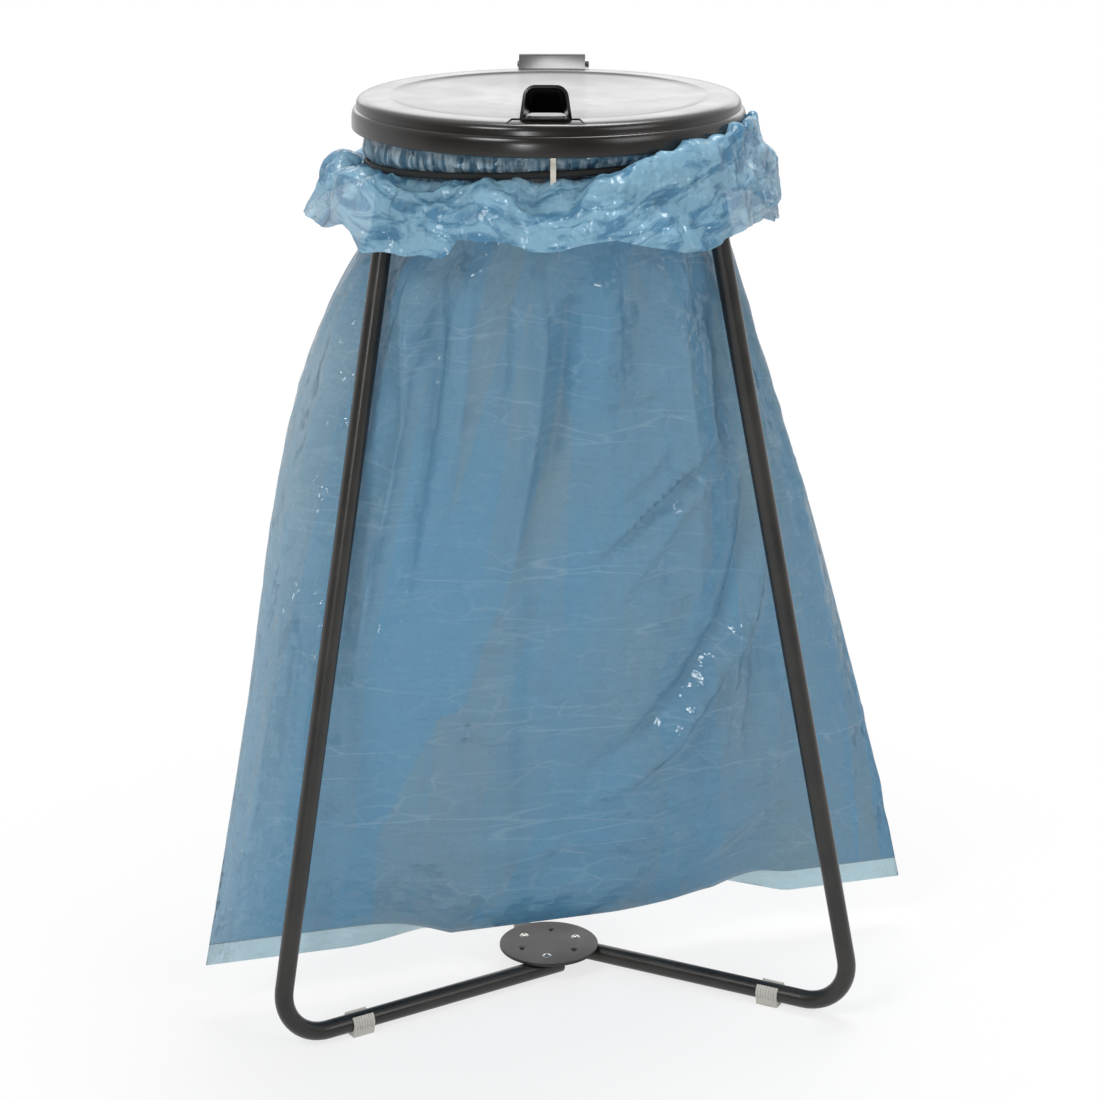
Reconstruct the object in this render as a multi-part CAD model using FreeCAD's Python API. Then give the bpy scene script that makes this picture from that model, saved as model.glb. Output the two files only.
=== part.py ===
import FreeCAD
import Part
import math
import os

# Free-standing bin bag holder: three bent tube legs under a moulded ring, a hinged lid,
# and a film bag whose mouth is folded over the ring and held by an elastic band.
# Millimetres. The origin is on the floor under the ring's axis, the front faces -Y.

os.makedirs("parts", exist_ok=True)
V = FreeCAD.Vector
UP = V(0, 0, 1)

# Clearances
FIT = 0.05            # radial clearance of a plugged or pinned fit
GAP = 0.3             # gap between film or moving parts and their neighbours

# Bag ring
RING_R = 163.0
RING_WALL = 3.0
RING_HEIGHT = 50.0
RING_TOP = 856.0
RING_BASE = RING_TOP - RING_HEIGHT
LIP_OUT = 5.0
LIP_R = RING_R + LIP_OUT
LIP_H = 3.5
FLANGE_OUT = 9.0
FLANGE_R = RING_R + FLANGE_OUT
FLANGE_H = 3.0

# Legs
TUBE_D = 18.0
TUBE_WALL = 1.5
SOLE = 3.5            # height of the tube above the floor, the glide's sole
RUN_Z = SOLE + TUBE_D / 2
BEND_R = 45.0
RUN_LENGTH = 305.5    # from the hub rivet to the corner of the bend
RUN_ANGLE = 93.8      # direction of the back leg's run on the floor
TOP_ANGLE = 91.4      # direction in which the back leg meets the ring
LEG_INSET = 4.45
TOP_R = RING_R - LEG_INSET     # where the leg's axis line crosses the lean height
LEAN_Z = RING_TOP + 4.0
LEG_TOP_Z = RING_BASE - 6.0
SOCKET_WALL = 3.5
SOCKET_D = TUBE_D + 2 * SOCKET_WALL
SOCKET_DEPTH = 32.0
TAIL = 16.0           # tube left beyond the rivet
LEG_NAMES = ("back", "front_left", "front_right")

# Hub plate and its rivets
HUB_D = 100.0
HUB_T = 3.0
RIVET_PCD = 60.8
RIVET_ANGLE = 147.3
SPARE_ANGLE = 87.3
SPARE_D = 4.0
DIMPLE_D = 9.0
DIMPLE_DEPTH = 0.8
RIVET_D = 4.8
RIVET_HEAD_D = 9.5
RIVET_HEAD_H = 1.9
MANDREL_D = 2.0
BULGE_D = 6.6
BULGE_H = 2.4

# Foot glides
FOOT_LENGTH = 22.0
FOOT_WALL = 2.4
FOOT_BACK = 89.6      # from the corner of the bend back to the glide's middle
FOOT_OPEN = 80.0      # opening of the C on top, degrees
FOOT_SOLE_W = 17.0
FOOT_RIBS = 8
RIB_DEPTH = 0.7

# Fasteners of the sockets and of the hinge bracket
SCREW_D = 4.0
SCREW_HEAD_D = 8.0
SCREW_HEAD_H = 2.2
SCREW_TIP = 5.5       # reach of the point beyond the tube wall

# Bag film
FILM = 2.0            # wall of the film's solid
BAG_WIDTH = 737.0     # laid flat
HEM_Z = 51.0
HEM_H = 22.0
BAG_TURN = 17.8       # the flat hem's plane seen from above
BAG_SHIFT = 16.0      # the hem's middle lies a little to the right
BAG_SWAY = 17.0       # and the upper body hangs a little to the left
GATHERS = 18
GATHER_DEPTH = 7.0
LEG_DENT = 7.0        # the film gives way to the legs below the ring
CUFF_HEM_Z = RING_TOP - 76.0
CUFF_FLARE = 52.0
SECTION_POINTS = 72
BODY_TOP = LEG_TOP_Z - SOCKET_DEPTH - 2.0
BODY_SHARES = (0.065, 0.147, 0.256, 0.386, 0.53, 0.675, 0.804, 0.905, 0.963, 1.0)
HOOK_TUCK = 14.0      # how far the hook's tip draws the film down
CUFF_LOBES = (        # scallops of the cuff's hem: direction, rise and half width
    (-142.0, -13.0, 26.0),
    (-100.0, 13.0, 14.0),
    (-70.0, 13.0, 13.0),
    (-55.0, -6.0, 12.0),
    (-36.0, 7.0, 16.0),
    (12.0, -5.0, 20.0),
    (150.0, 7.0, 20.0),
    (184.0, -7.0, 16.0),
)

# Elastic band
BAND_D = 6.6
BAND_Z = RING_TOP - 23.0
BAND_TILT = 3.85
BAND_HIGH_SIDE = -45.0

# Spring hook in front of the band
HOOK_W = 5.0
HOOK_T = 1.2
HOOK_X = 7.0
HOOK_TIP_Z = BAND_Z - 7.6
HOOK_INNER_Z = RING_TOP - 18.0
HOOK_NOTCH = 16.0

# Lid
LID_OVER = 19.6       # the lid reaches out beyond the ring's wall
LID_R = RING_R + LID_OVER
LID_WALL = 2.4
LID_RIM_Z = RING_TOP + 2.0
LEDGE_H = 18.0
LEDGE_Z = LID_RIM_Z + LEDGE_H
LEDGE_R = LID_R - 4.0
LID_H = 28.6
LID_TOP_Z = LID_RIM_Z + LID_H
LID_TOP_R = LID_R - 8.6
CREASE_R = LID_R - 36.6
DISH_DEPTH = 7.0
SEAL_RIB_R = RING_R + 1.0
SEAL_RIB_T = 2.0

# Front grip of the lid
GRIP_W = 46.4
GRIP_TOP_W = 37.4
GRIP_H = 29.6
GRIP_WALL = 2.6
GRIP_LENGTH = 44.0
GRIP_TAIL_H = 4.0
PAD_FRONT_W = 69.5
PAD_BACK_W = 59.5
PAD_DEPTH = 0.8
PAD_REACH = 27.0

# Lid hinge
PIN_D = 5.0
PIN_Y = LID_R + 8.6
PIN_Z = LID_TOP_Z + 1.9
STRAP_T = 3.0
STRAP_W = 59.0
BRACKET_SCREW_CLEAR = 4.0      # from the back tube's side to the bracket's screws
BRACKET_SCREW_X = (TUBE_D + SCREW_D) / 2 + BRACKET_SCREW_CLEAR
STRAP_FOOT_EDGE = 6.0
STRAP_FOOT_W = 2 * (BRACKET_SCREW_X + STRAP_FOOT_EDGE)
STRAP_FOOT_Z = RING_BASE - 16.0
HOOD_W = 65.2
HOOD_WALL = 2.5
HOOD_R = 9.4
HOOD_START_Y = PIN_Y - 25.2
HOOD_REAR = -3.0      # lowest direction of the hood behind the pin, degrees
PIN_HEAD_D = 8.0
PIN_HEAD_H = 1.6
CAP_D = 9.0
CAP_H = 2.4
PAD_Y = PIN_Y - PIN_D / 2 - FIT - STRAP_T      # front face of the strap, seat of the pad
PAD_HALF = STRAP_FOOT_W / 2 + 2.0
BRACKET_SCREW_Z = RING_BASE - 8.0
BRACKET_SCREW_REACH = 8.0
SCREW_HOLE_DEPTH = 20.0


def polar(radius, angle, z=0.0):
    a = math.radians(angle)
    return V(radius * math.cos(a), radius * math.sin(a), z)


def cylinder(radius, height, base=V(0, 0, 0), axis=UP):
    return Part.makeCylinder(radius, height, base, axis)


def revolve(points, angle=360.0):
    """Turn a closed outline of (radius, z) pairs about the Z axis."""
    corners = [V(r, 0, z) for r, z in points]
    face = Part.Face(Part.makePolygon(corners + corners[:1]))
    return face.revolve(V(0, 0, 0), UP, angle)


def prism(points, direction):
    """Extrude a closed outline of points along a direction."""
    face = Part.Face(Part.makePolygon(points + points[:1]))
    return face.extrude(direction)


def save(name, shape, merge=True):
    solids = shape.removeSplitter().Solids if merge else shape.Solids
    result = solids[0] if len(solids) == 1 else Part.makeCompound(solids)
    if not result.isValid():
        raise ValueError(name + " is not a valid solid")
    result.exportStep("parts/" + name + ".step")


class Leg:
    """Centre line of one leg: inner end, corner of the bend and top end."""

    def __init__(self, index):
        turn = 120.0 * index
        self.rivet = polar(RIVET_PCD / 2, RIVET_ANGLE + turn, RUN_Z)
        self.run = polar(1.0, RUN_ANGLE + turn)
        self.inner = self.rivet - self.run * TAIL
        self.corner = self.rivet + self.run * RUN_LENGTH
        lean_point = polar(TOP_R, TOP_ANGLE + turn, LEAN_Z)
        self.rise = (lean_point - self.corner).normalize()
        self.top = self.at_height(LEG_TOP_Z)

    def at_height(self, z):
        return self.corner + self.rise * ((z - self.corner.z) / self.rise.z)

    def path(self):
        back = -self.run
        half = back.getAngle(self.rise) / 2
        tangent = BEND_R / math.tan(half)
        first = self.corner + back * tangent
        last = self.corner + self.rise * tangent
        centre_way = (back + self.rise).normalize()
        middle = self.corner + centre_way * (BEND_R / math.sin(half) - BEND_R)
        edges = [
            Part.LineSegment(self.inner, first).toShape(),
            Part.Arc(first, middle, last).toShape(),
            Part.LineSegment(last, self.top).toShape(),
        ]
        return Part.Wire(edges)

    def swept(self, radius):
        circle = Part.Wire(Part.Circle(self.inner, self.run, radius).toShape())
        return self.path().makePipeShell([circle], True, False)

    def screw_line(self):
        """Seat and direction of the socket's screw, on the outer side of the tube."""
        middle = self.top - self.rise * (SOCKET_DEPTH - SCREW_HEAD_D * 0.75)
        outward = polar(1.0, math.degrees(math.atan2(middle.y, middle.x)))
        outward = (outward - self.rise * outward.dot(self.rise)).normalize()
        return middle, outward


LEGS = [Leg(index) for index in range(3)]


def leg_tube(leg):
    tube = leg.swept(TUBE_D / 2).cut(leg.swept(TUBE_D / 2 - TUBE_WALL))
    rivet_hole = cylinder(RIVET_D / 2 + FIT, TUBE_D, leg.rivet)
    middle, outward = leg.screw_line()
    screw_hole = cylinder(SCREW_D / 2 + FIT, TUBE_D, middle, outward)
    return tube.cut(rivet_hole).cut(screw_hole)


def hub_plate():
    base = RUN_Z + TUBE_D / 2
    plate = cylinder(HUB_D / 2, HUB_T, V(0, 0, base))
    plate = plate.makeFillet(0.6, [e for e in plate.Edges if len(e.Vertexes) == 1])
    for turn in (0, 120, 240):
        at = polar(RIVET_PCD / 2, RIVET_ANGLE + turn, base)
        plate = plate.cut(cylinder(RIVET_D / 2 + FIT, HUB_T, at))
        at = polar(RIVET_PCD / 2, SPARE_ANGLE + turn, base)
        plate = plate.cut(cylinder(SPARE_D / 2, HUB_T, at))
        low = at + UP * (HUB_T - DIMPLE_DEPTH)
        plate = plate.cut(Part.makeCone(SPARE_D / 2, DIMPLE_D / 2, DIMPLE_DEPTH, low))
    return plate


def blind_rivet(leg):
    """Domed head on the plate, shank through plate and tube wall, bulge inside the tube."""
    plate_top = RUN_Z + TUBE_D / 2 + HUB_T
    inside = RUN_Z + TUBE_D / 2 - TUBE_WALL
    dome_r = (RIVET_HEAD_D ** 2 / 4 + RIVET_HEAD_H ** 2) / (2 * RIVET_HEAD_H)
    dome = Part.makeSphere(dome_r, V(0, 0, plate_top + RIVET_HEAD_H - dome_r))
    head = dome.common(cylinder(RIVET_HEAD_D, RIVET_HEAD_H, V(0, 0, plate_top)))
    shank = cylinder(RIVET_D / 2, plate_top - inside, V(0, 0, inside))
    drop = TUBE_D / 2 - TUBE_WALL - math.sqrt((TUBE_D / 2 - TUBE_WALL) ** 2 - BULGE_D ** 2 / 4)
    bulge_top = inside - drop
    bulge = cylinder(BULGE_D / 2, BULGE_H, V(0, 0, bulge_top - BULGE_H))
    neck = cylinder(RIVET_D / 2, BULGE_H + drop, V(0, 0, bulge_top - BULGE_H))
    rivet = head.fuse([shank, bulge, neck])
    mandrel_hole = cylinder(MANDREL_D / 2, RIVET_HEAD_H * 1.5, V(0, 0, plate_top))
    rivet = rivet.cut(mandrel_hole)
    rivet.translate(V(leg.rivet.x, leg.rivet.y, 0))
    return rivet


def foot_glide(leg):
    """C-shaped glide snapped on the run from below, with a flat sole and grip ribs."""
    inner = TUBE_D / 2 + FIT
    outer = TUBE_D / 2 + FOOT_WALL
    centre = V(0, 0, RUN_Z)
    along = V(1, 0, 0)
    barrel = cylinder(outer, FOOT_LENGTH, centre, along)
    half = FOOT_SOLE_W / 2
    wide = outer * math.cos(math.radians(20))
    shoulder = RUN_Z - outer * math.sin(math.radians(20))
    sole = prism([V(0, -half, 0), V(0, half, 0), V(0, wide, shoulder), V(0, -wide, shoulder)],
                 along * FOOT_LENGTH)
    body = barrel.common(Part.makeBox(FOOT_LENGTH, 4 * outer, 4 * outer, V(0, -2 * outer, 0)))
    body = body.fuse(sole)
    pitch = FOOT_LENGTH / FOOT_RIBS
    groove = outer * 3
    for i in range(1, FOOT_RIBS):
        slot = cylinder(groove, pitch * 0.4, centre + along * (i * pitch - pitch * 0.2), along)
        slot = slot.cut(cylinder(outer - RIB_DEPTH, FOOT_LENGTH, centre, along))
        above_sole = Part.makeBox(FOOT_LENGTH, 4 * outer, 4 * outer, V(0, -2 * outer, shoulder))
        body = body.cut(slot.common(above_sole))
    body = body.cut(cylinder(inner, FOOT_LENGTH, centre, along))
    reach = 2 * outer
    spread = reach * math.tan(math.radians(FOOT_OPEN / 2))
    mouth = prism([V(0, 0, RUN_Z), V(0, spread, RUN_Z + reach), V(0, -spread, RUN_Z + reach)],
                  along * FOOT_LENGTH)
    body = body.cut(mouth)
    body.translate(V(-FOOT_LENGTH / 2, 0, 0))
    heading = math.degrees(math.atan2(leg.run.y, leg.run.x))
    body.rotate(V(0, 0, 0), UP, heading)
    place = leg.corner - leg.run * FOOT_BACK
    body.translate(V(place.x, place.y, 0))
    return body


def screw(seat, outward, reach):
    """Pan-head screw: the head lies on the seat, the shank points inwards."""
    shank = cylinder(SCREW_D / 2, reach, seat - outward * reach, outward)
    head = cylinder(SCREW_HEAD_D / 2, SCREW_HEAD_H, seat, outward)
    rim = [e for e in head.Edges if (e.CenterOfMass - seat).dot(outward) > SCREW_HEAD_H * 0.9]
    head = head.makeFillet(SCREW_HEAD_H * 0.6, rim)
    cross = Part.makeBox(1.0, SCREW_HEAD_D * 0.5, SCREW_HEAD_H, V(-0.5, -SCREW_HEAD_D * 0.25, 0))
    cross = cross.fuse(Part.makeBox(SCREW_HEAD_D * 0.5, 1.0, SCREW_HEAD_H,
                                    V(-SCREW_HEAD_D * 0.25, -0.5, 0)))
    turn = FreeCAD.Rotation(UP, outward)
    cross.Placement = FreeCAD.Placement(seat + outward * (SCREW_HEAD_H * 0.5), turn)
    return head.fuse(shank).cut(cross)


def socket_seat(leg):
    middle, outward = leg.screw_line()
    return middle + outward * (SOCKET_D / 2 - 0.6), outward


def leg_screw(leg):
    seat, outward = socket_seat(leg)
    reach = SOCKET_D / 2 - TUBE_D / 2 + TUBE_WALL + SCREW_TIP
    return screw(seat, outward, reach)


def bracket_screw_seat(side):
    return V(side * BRACKET_SCREW_X, PAD_Y + STRAP_T, BRACKET_SCREW_Z)


def bag_ring():
    """Moulded ring: wall, top lip, lower flange, three leg sockets and the hinge pad."""
    inner = RING_R - RING_WALL
    profile = [
        (inner, RING_BASE), (FLANGE_R, RING_BASE), (FLANGE_R, RING_BASE + FLANGE_H),
        (RING_R, RING_BASE + FLANGE_H), (RING_R, RING_TOP - LIP_H),
        (LIP_R, RING_TOP - LIP_H), (LIP_R, RING_TOP), (inner, RING_TOP),
    ]
    ring = revolve(profile)
    edges = [e for e in ring.Edges
             if len(e.Vertexes) == 1 and e.BoundBox.XMax > inner + 0.5
             and abs(e.BoundBox.XMax - RING_R) > 0.1 and e.BoundBox.ZMin > RING_TOP - LIP_H - 1]
    ring = ring.makeFillet(LIP_H * 0.4, edges)
    height = RING_TOP - RING_BASE
    for leg in LEGS:
        socket_base = leg.top - leg.rise * SOCKET_DEPTH
        length = (RING_BASE + FLANGE_H - socket_base.z) / leg.rise.z + SOCKET_D
        boss = cylinder(SOCKET_D / 2, length, socket_base, leg.rise)
        boss = boss.common(cylinder(2 * RING_R, height, V(0, 0, RING_BASE + FLANGE_H - height)))
        ring = ring.fuse(boss)
    floor_z = STRAP_FOOT_Z - 2.0
    pad = Part.makeBox(2 * PAD_HALF, PAD_Y - inner, RING_BASE + FLANGE_H - floor_z,
                       V(-PAD_HALF, inner, floor_z))
    ring = ring.fuse(pad)
    ring = ring.cut(cylinder(inner, 3 * height, V(0, 0, RING_TOP - 3 * height)))
    for leg in LEGS:
        socket_base = leg.top - leg.rise * (SOCKET_DEPTH + 5.0)
        bore = cylinder(TUBE_D / 2 + FIT, SOCKET_DEPTH + 5.0, socket_base, leg.rise)
        ring = ring.cut(bore)
        seat, outward = socket_seat(leg)
        ring = ring.cut(cylinder(SCREW_HEAD_D / 2 + 0.6, SOCKET_D, seat, outward))
        ring = ring.cut(cylinder(SCREW_D / 2 + FIT, SOCKET_D, seat - outward * 6.0, outward))
    for side in (-1, 1):
        seat = bracket_screw_seat(side)
        tip = seat - V(0, STRAP_T + BRACKET_SCREW_REACH, 0)
        ring = ring.cut(cylinder(SCREW_D / 2 + FIT, SCREW_HOLE_DEPTH, tip, V(0, 1, 0)))
    return ring


def hinge_bracket():
    """Steel strip screwed to the pad, rolled into an eye round the pin at the top."""
    eye_inner = PIN_D / 2 + FIT
    eye_outer = eye_inner + STRAP_T
    half_top = STRAP_W / 2
    half_foot = STRAP_FOOT_W / 2
    taper_low = RING_BASE + FLANGE_H + 2.0
    taper_high = taper_low + (half_top - half_foot) * 2.2
    outline = [
        V(-half_foot, PAD_Y, STRAP_FOOT_Z), V(half_foot, PAD_Y, STRAP_FOOT_Z),
        V(half_foot, PAD_Y, taper_low), V(half_top, PAD_Y, taper_high),
        V(half_top, PAD_Y, PIN_Z), V(-half_top, PAD_Y, PIN_Z),
        V(-half_top, PAD_Y, taper_high), V(-half_foot, PAD_Y, taper_low),
    ]
    strap = prism(outline, V(0, STRAP_T, 0))
    base = V(-half_top, PIN_Y, PIN_Z)
    eye = cylinder(eye_outer, STRAP_W, base, V(1, 0, 0))
    bore = cylinder(eye_inner, STRAP_W, base, V(1, 0, 0))
    corner = V(-half_top, PAD_Y + STRAP_T, PIN_Z - eye_outer)
    opening = Part.makeBox(STRAP_W, eye_outer, eye_outer, corner)
    strap = strap.fuse(eye.cut(opening)).cut(bore)
    for side in (-1, 1):
        seat = bracket_screw_seat(side)
        start = seat - V(0, 1.5 * STRAP_T, 0)
        strap = strap.cut(cylinder(SCREW_D / 2 + FIT, 2 * STRAP_T, start, V(0, 1, 0)))
    return strap


def bracket_screw(side):
    return screw(bracket_screw_seat(side), V(0, 1, 0), STRAP_T + BRACKET_SCREW_REACH - 1.0)


def hinge_pin():
    half = HOOD_W / 2 + GAP
    length = 2 * half + CAP_H
    pin = cylinder(PIN_D / 2, length, V(-half, PIN_Y, PIN_Z), V(1, 0, 0))
    head = cylinder(PIN_HEAD_D / 2, PIN_HEAD_H, V(-half - PIN_HEAD_H, PIN_Y, PIN_Z), V(1, 0, 0))
    head = head.makeFillet(PIN_HEAD_H * 0.4, [e for e in head.Edges if e.BoundBox.XMax < -half - 1])
    return pin.fuse(head)


def pin_cap():
    start = HOOD_W / 2 + GAP
    centre = V(start, PIN_Y, PIN_Z)
    along = V(1, 0, 0)
    cap = cylinder(CAP_D / 2, CAP_H + 1.2, centre, along)
    cap = cap.makeFillet(0.8, [e for e in cap.Edges if e.BoundBox.XMin > start + CAP_H])
    return cap.cut(cylinder(PIN_D / 2 + FIT, CAP_H, centre, along))


def lid_section():
    """Outer line of the lid from the rim to the centre, then back along the inner wall."""
    t = LID_WALL
    rim_z = LID_RIM_Z
    outer = [
        (LID_R, rim_z), (LID_R, rim_z + 9.0), (LID_R - 0.9, LEDGE_Z - 3.6),
        (LID_R - 2.4, LEDGE_Z - 0.9), (LEDGE_R, LEDGE_Z),
        (LEDGE_R - 0.4, LEDGE_Z + 5.5), (LID_TOP_R + 2.2, LID_TOP_Z - 1.2), (LID_TOP_R, LID_TOP_Z),
    ]
    crown = (LID_TOP_R + CREASE_R) / 2
    outer += [(crown, LID_TOP_Z + 0.5), (CREASE_R + 2.0, LID_TOP_Z + 0.4),
              (CREASE_R - 1.5, LID_TOP_Z - 0.5)]
    inner = [
        (LID_R - t, rim_z), (LID_R - t, rim_z + 8.0), (LEDGE_R - t, LEDGE_Z - t),
        (LEDGE_R - t - 0.4, LID_TOP_Z - t - 3.0), (LID_TOP_R - 1.0, LID_TOP_Z - t),
        (CREASE_R, LID_TOP_Z - t),
    ]
    return outer, inner


def straight_edges(points):
    """Straight edges through (radius, z) points in the XZ plane."""
    corners = [V(r, 0, z) for r, z in points]
    return [Part.LineSegment(a, b).toShape() for a, b in zip(corners, corners[1:])]


def lid_shell():
    outer, inner = lid_section()
    dish_z = LID_TOP_Z - DISH_DEPTH
    edge_r, edge_z = outer[-1]
    middle_r = edge_r * 0.55
    middle_z = dish_z + (edge_z - dish_z) * 0.32
    top_middle = V(middle_r, 0, middle_z)
    under_middle = V(middle_r, 0, middle_z - LID_WALL)
    in_r, in_z = inner[-1]
    lines = straight_edges(outer)
    lines.append(Part.Arc(V(edge_r, 0, edge_z), top_middle, V(0, 0, dish_z)).toShape())
    lines += straight_edges([(0, dish_z), (0, dish_z - LID_WALL)])
    lines.append(Part.Arc(V(0, 0, dish_z - LID_WALL), under_middle, V(in_r, 0, in_z)).toShape())
    lines += straight_edges(inner[::-1])
    lines += straight_edges([inner[0], outer[0]])
    face = Part.Face(Part.Wire(Part.__sortEdges__(lines)))
    return face.revolve(V(0, 0, 0), UP, 360)


def seal_rib():
    """Rib under the lid that comes down on the film over the ring, open at the hook."""
    foot = RING_TOP + GAP + FILM + GAP
    top = LID_TOP_Z - LID_WALL + 0.6
    r = SEAL_RIB_R
    rib = revolve([(r, foot), (r + SEAL_RIB_T, foot), (r + SEAL_RIB_T, top), (r, top)])
    corner = V(HOOK_X - HOOK_NOTCH / 2, -r - 20.0, foot)
    notch = Part.makeBox(HOOK_NOTCH, 40.0, top - foot - 6.0, corner)
    return rib.cut(notch)


def grip_profile(width, top_width, height, base_z, y):
    """Arch of the grip: sides that lean in and a top with round shoulders."""
    radius = min(top_width * 0.28, height * 0.4)
    half = width / 2
    top_half = top_width / 2
    lean = (half - top_half) / height
    z_top = base_z + height
    side_top = V(top_half + lean * radius, y, z_top - radius)
    corner_mid = V(top_half - radius * 0.29, y, z_top - radius * 0.29)
    flat_end = V(top_half - radius, y, z_top)
    crown = V(0, y, z_top + 0.6)
    mirrored = [V(-p.x, p.y, p.z) for p in (side_top, corner_mid, flat_end)]
    edges = [
        Part.LineSegment(V(half, y, base_z), side_top).toShape(),
        Part.Arc(side_top, corner_mid, flat_end).toShape(),
        Part.Arc(flat_end, crown, mirrored[2]).toShape(),
        Part.Arc(mirrored[2], mirrored[1], mirrored[0]).toShape(),
        Part.LineSegment(mirrored[0], V(-half, y, base_z)).toShape(),
        Part.LineSegment(V(-half, y, base_z), V(half, y, base_z)).toShape(),
    ]
    return Part.Wire(edges)


def grip_hood(shrink, start, length, sink):
    """One skin of the grip, lofted from the open front to the low tail."""
    base = LID_TOP_Z - sink
    height = GRIP_H - shrink + sink
    sections = []
    for share in (0.0, 0.35, 0.7, 1.0):
        fall = share ** 1.8
        h = height * (1.0 - fall) + (GRIP_TAIL_H + sink - shrink) * fall
        w = (GRIP_W - 2 * shrink) * (1.0 - 0.22 * share)
        top = (GRIP_TOP_W - 2 * shrink) * (1.0 - 0.25 * share)
        sections.append(grip_profile(w, top, h, base, -CREASE_R + start + length * share))
    return Part.makeLoft(sections, True, False)


def hinge_hood():
    """Cover over the eye: ramp from the lid's top, round back, side walls with pin holes."""
    half = HOOD_W / 2
    pin = V(-half, PIN_Y, PIN_Z)
    ramp_angle = 118.0

    def round_back(radius):
        """Three points of the arc round the pin: ramp end, middle and rear edge."""
        points = []
        for angle in (ramp_angle, (ramp_angle + HOOD_REAR) / 2, HOOD_REAR):
            a = math.radians(angle)
            points.append(pin + V(0, radius * math.cos(a), radius * math.sin(a)))
        return points

    base_z = LID_TOP_Z - LID_WALL
    start = V(-half, HOOD_START_Y, LID_TOP_Z)
    foot = V(-half, HOOD_START_Y, base_z)
    in_start = V(-half, HOOD_START_Y + 9.0, base_z)
    touch, mid, end = round_back(HOOD_R)
    in_touch, in_mid, in_end = round_back(HOOD_R - HOOD_WALL)
    edges = [
        Part.LineSegment(start, touch).toShape(),
        Part.Arc(touch, mid, end).toShape(),
        Part.LineSegment(end, in_end).toShape(),
        Part.Arc(in_end, in_mid, in_touch).toShape(),
        Part.LineSegment(in_touch, in_start).toShape(),
        Part.LineSegment(in_start, foot).toShape(),
        Part.LineSegment(foot, start).toShape(),
    ]
    cover = Part.Face(Part.Wire(edges)).extrude(V(HOOD_W, 0, 0))
    below = pin + V(0, 2.0, 0.2 - HOOD_R)
    low_corner = pin + V(0, -HOOD_R * 0.6, -HOOD_R * 0.8)
    rim_corner = V(-half, LID_R - 7.0, LEDGE_Z - 2.0)
    side_edges = [
        Part.LineSegment(start, touch).toShape(),
        Part.Arc(touch, mid, end).toShape(),
        Part.Arc(end, below, low_corner).toShape(),
        Part.LineSegment(low_corner, rim_corner).toShape(),
        Part.LineSegment(rim_corner, foot).toShape(),
        Part.LineSegment(foot, start).toShape(),
    ]
    wall = Part.Face(Part.Wire(side_edges)).extrude(V(HOOD_WALL - 0.4, 0, 0))
    other = wall.mirror(V(0, 0, 0), V(1, 0, 0))
    hood = cover.fuse([wall, other])
    return hood


def lid():
    body = lid_shell()
    body = body.fuse(seal_rib())
    outer = grip_hood(0.0, 0.0, GRIP_LENGTH, LID_WALL * 0.6)
    body = body.fuse(outer)
    body = body.cut(grip_hood(GRIP_WALL, -2.0, GRIP_LENGTH - GRIP_WALL, -0.6))
    body = body.fuse(hinge_hood())
    bore = cylinder(PIN_D / 2 + FIT, HOOD_W + 2.0, V(-HOOD_W / 2 - 1.0, PIN_Y, PIN_Z), V(1, 0, 0))
    body = body.cut(bore)
    room = STRAP_W / 2 + 3 * GAP
    eye_room = cylinder(HOOD_R - HOOD_WALL, 2 * room, V(-room, PIN_Y, PIN_Z), V(1, 0, 0))
    body = body.cut(eye_room)
    front = -CREASE_R - 0.5
    z = LID_TOP_Z + 2.0
    pad = prism([V(-PAD_BACK_W / 2, front, z), V(PAD_BACK_W / 2, front, z),
                 V(PAD_FRONT_W / 2, front - PAD_REACH, z), V(-PAD_FRONT_W / 2, front - PAD_REACH, z)],
                V(0, 0, -2.0 - PAD_DEPTH + 0.5))
    return body.cut(pad)


def band_frame():
    turn = FreeCAD.Rotation(polar(1.0, BAND_HIGH_SIDE + 90.0), -BAND_TILT)
    return FreeCAD.Placement(V(0, 0, BAND_Z), turn)


def elastic_band():
    radius = RING_R + GAP + FILM + GAP + BAND_D / 2
    band = Part.makeTorus(radius, BAND_D / 2)
    band.Placement = band_frame()
    return band


def band_height(angle):
    """Height of the band's centre line in a direction seen from above."""
    radius = RING_R + GAP + FILM + GAP + BAND_D / 2
    lean = math.tan(math.radians(BAND_TILT)) * radius
    return BAND_Z + lean * math.cos(math.radians(angle - BAND_HIGH_SIDE))


def band_hook():
    """Spring strip over film and lip, down in front of the band, with a kink at the band."""
    film_top = RING_TOP + GAP + FILM + GAP
    inside_y = -(RING_R - RING_WALL - GAP - FILM - GAP - HOOK_T)
    band_front = -(RING_R + GAP + FILM + GAP + BAND_D + GAP)
    lip_front = -(LIP_R + GAP + FILM + GAP)
    kink_z = band_height(-90.0)
    front = [
        (lip_front - 0.6, film_top - 6.0), (band_front - 0.2, kink_z + 5.0),
        (band_front - 0.2, kink_z - 2.0), (band_front + 1.0, HOOK_TIP_Z),
    ]
    outer = [(inside_y, HOOK_INNER_Z), (inside_y, film_top + HOOK_T),
             (lip_front - HOOK_T, film_top + HOOK_T)]
    outer += [(y - HOOK_T, z) for y, z in front]
    inner = [(inside_y - HOOK_T, HOOK_INNER_Z), (inside_y - HOOK_T, film_top),
             (lip_front, film_top)] + front
    points = [V(HOOK_X - HOOK_W / 2, y, z) for y, z in outer + inner[::-1]]
    return prism(points, V(HOOK_W, 0, 0))


def smooth(edge0, edge1, x):
    t = min(1.0, max(0.0, (x - edge0) / (edge1 - edge0)))
    return t * t * (3 - 2 * t)


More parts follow.
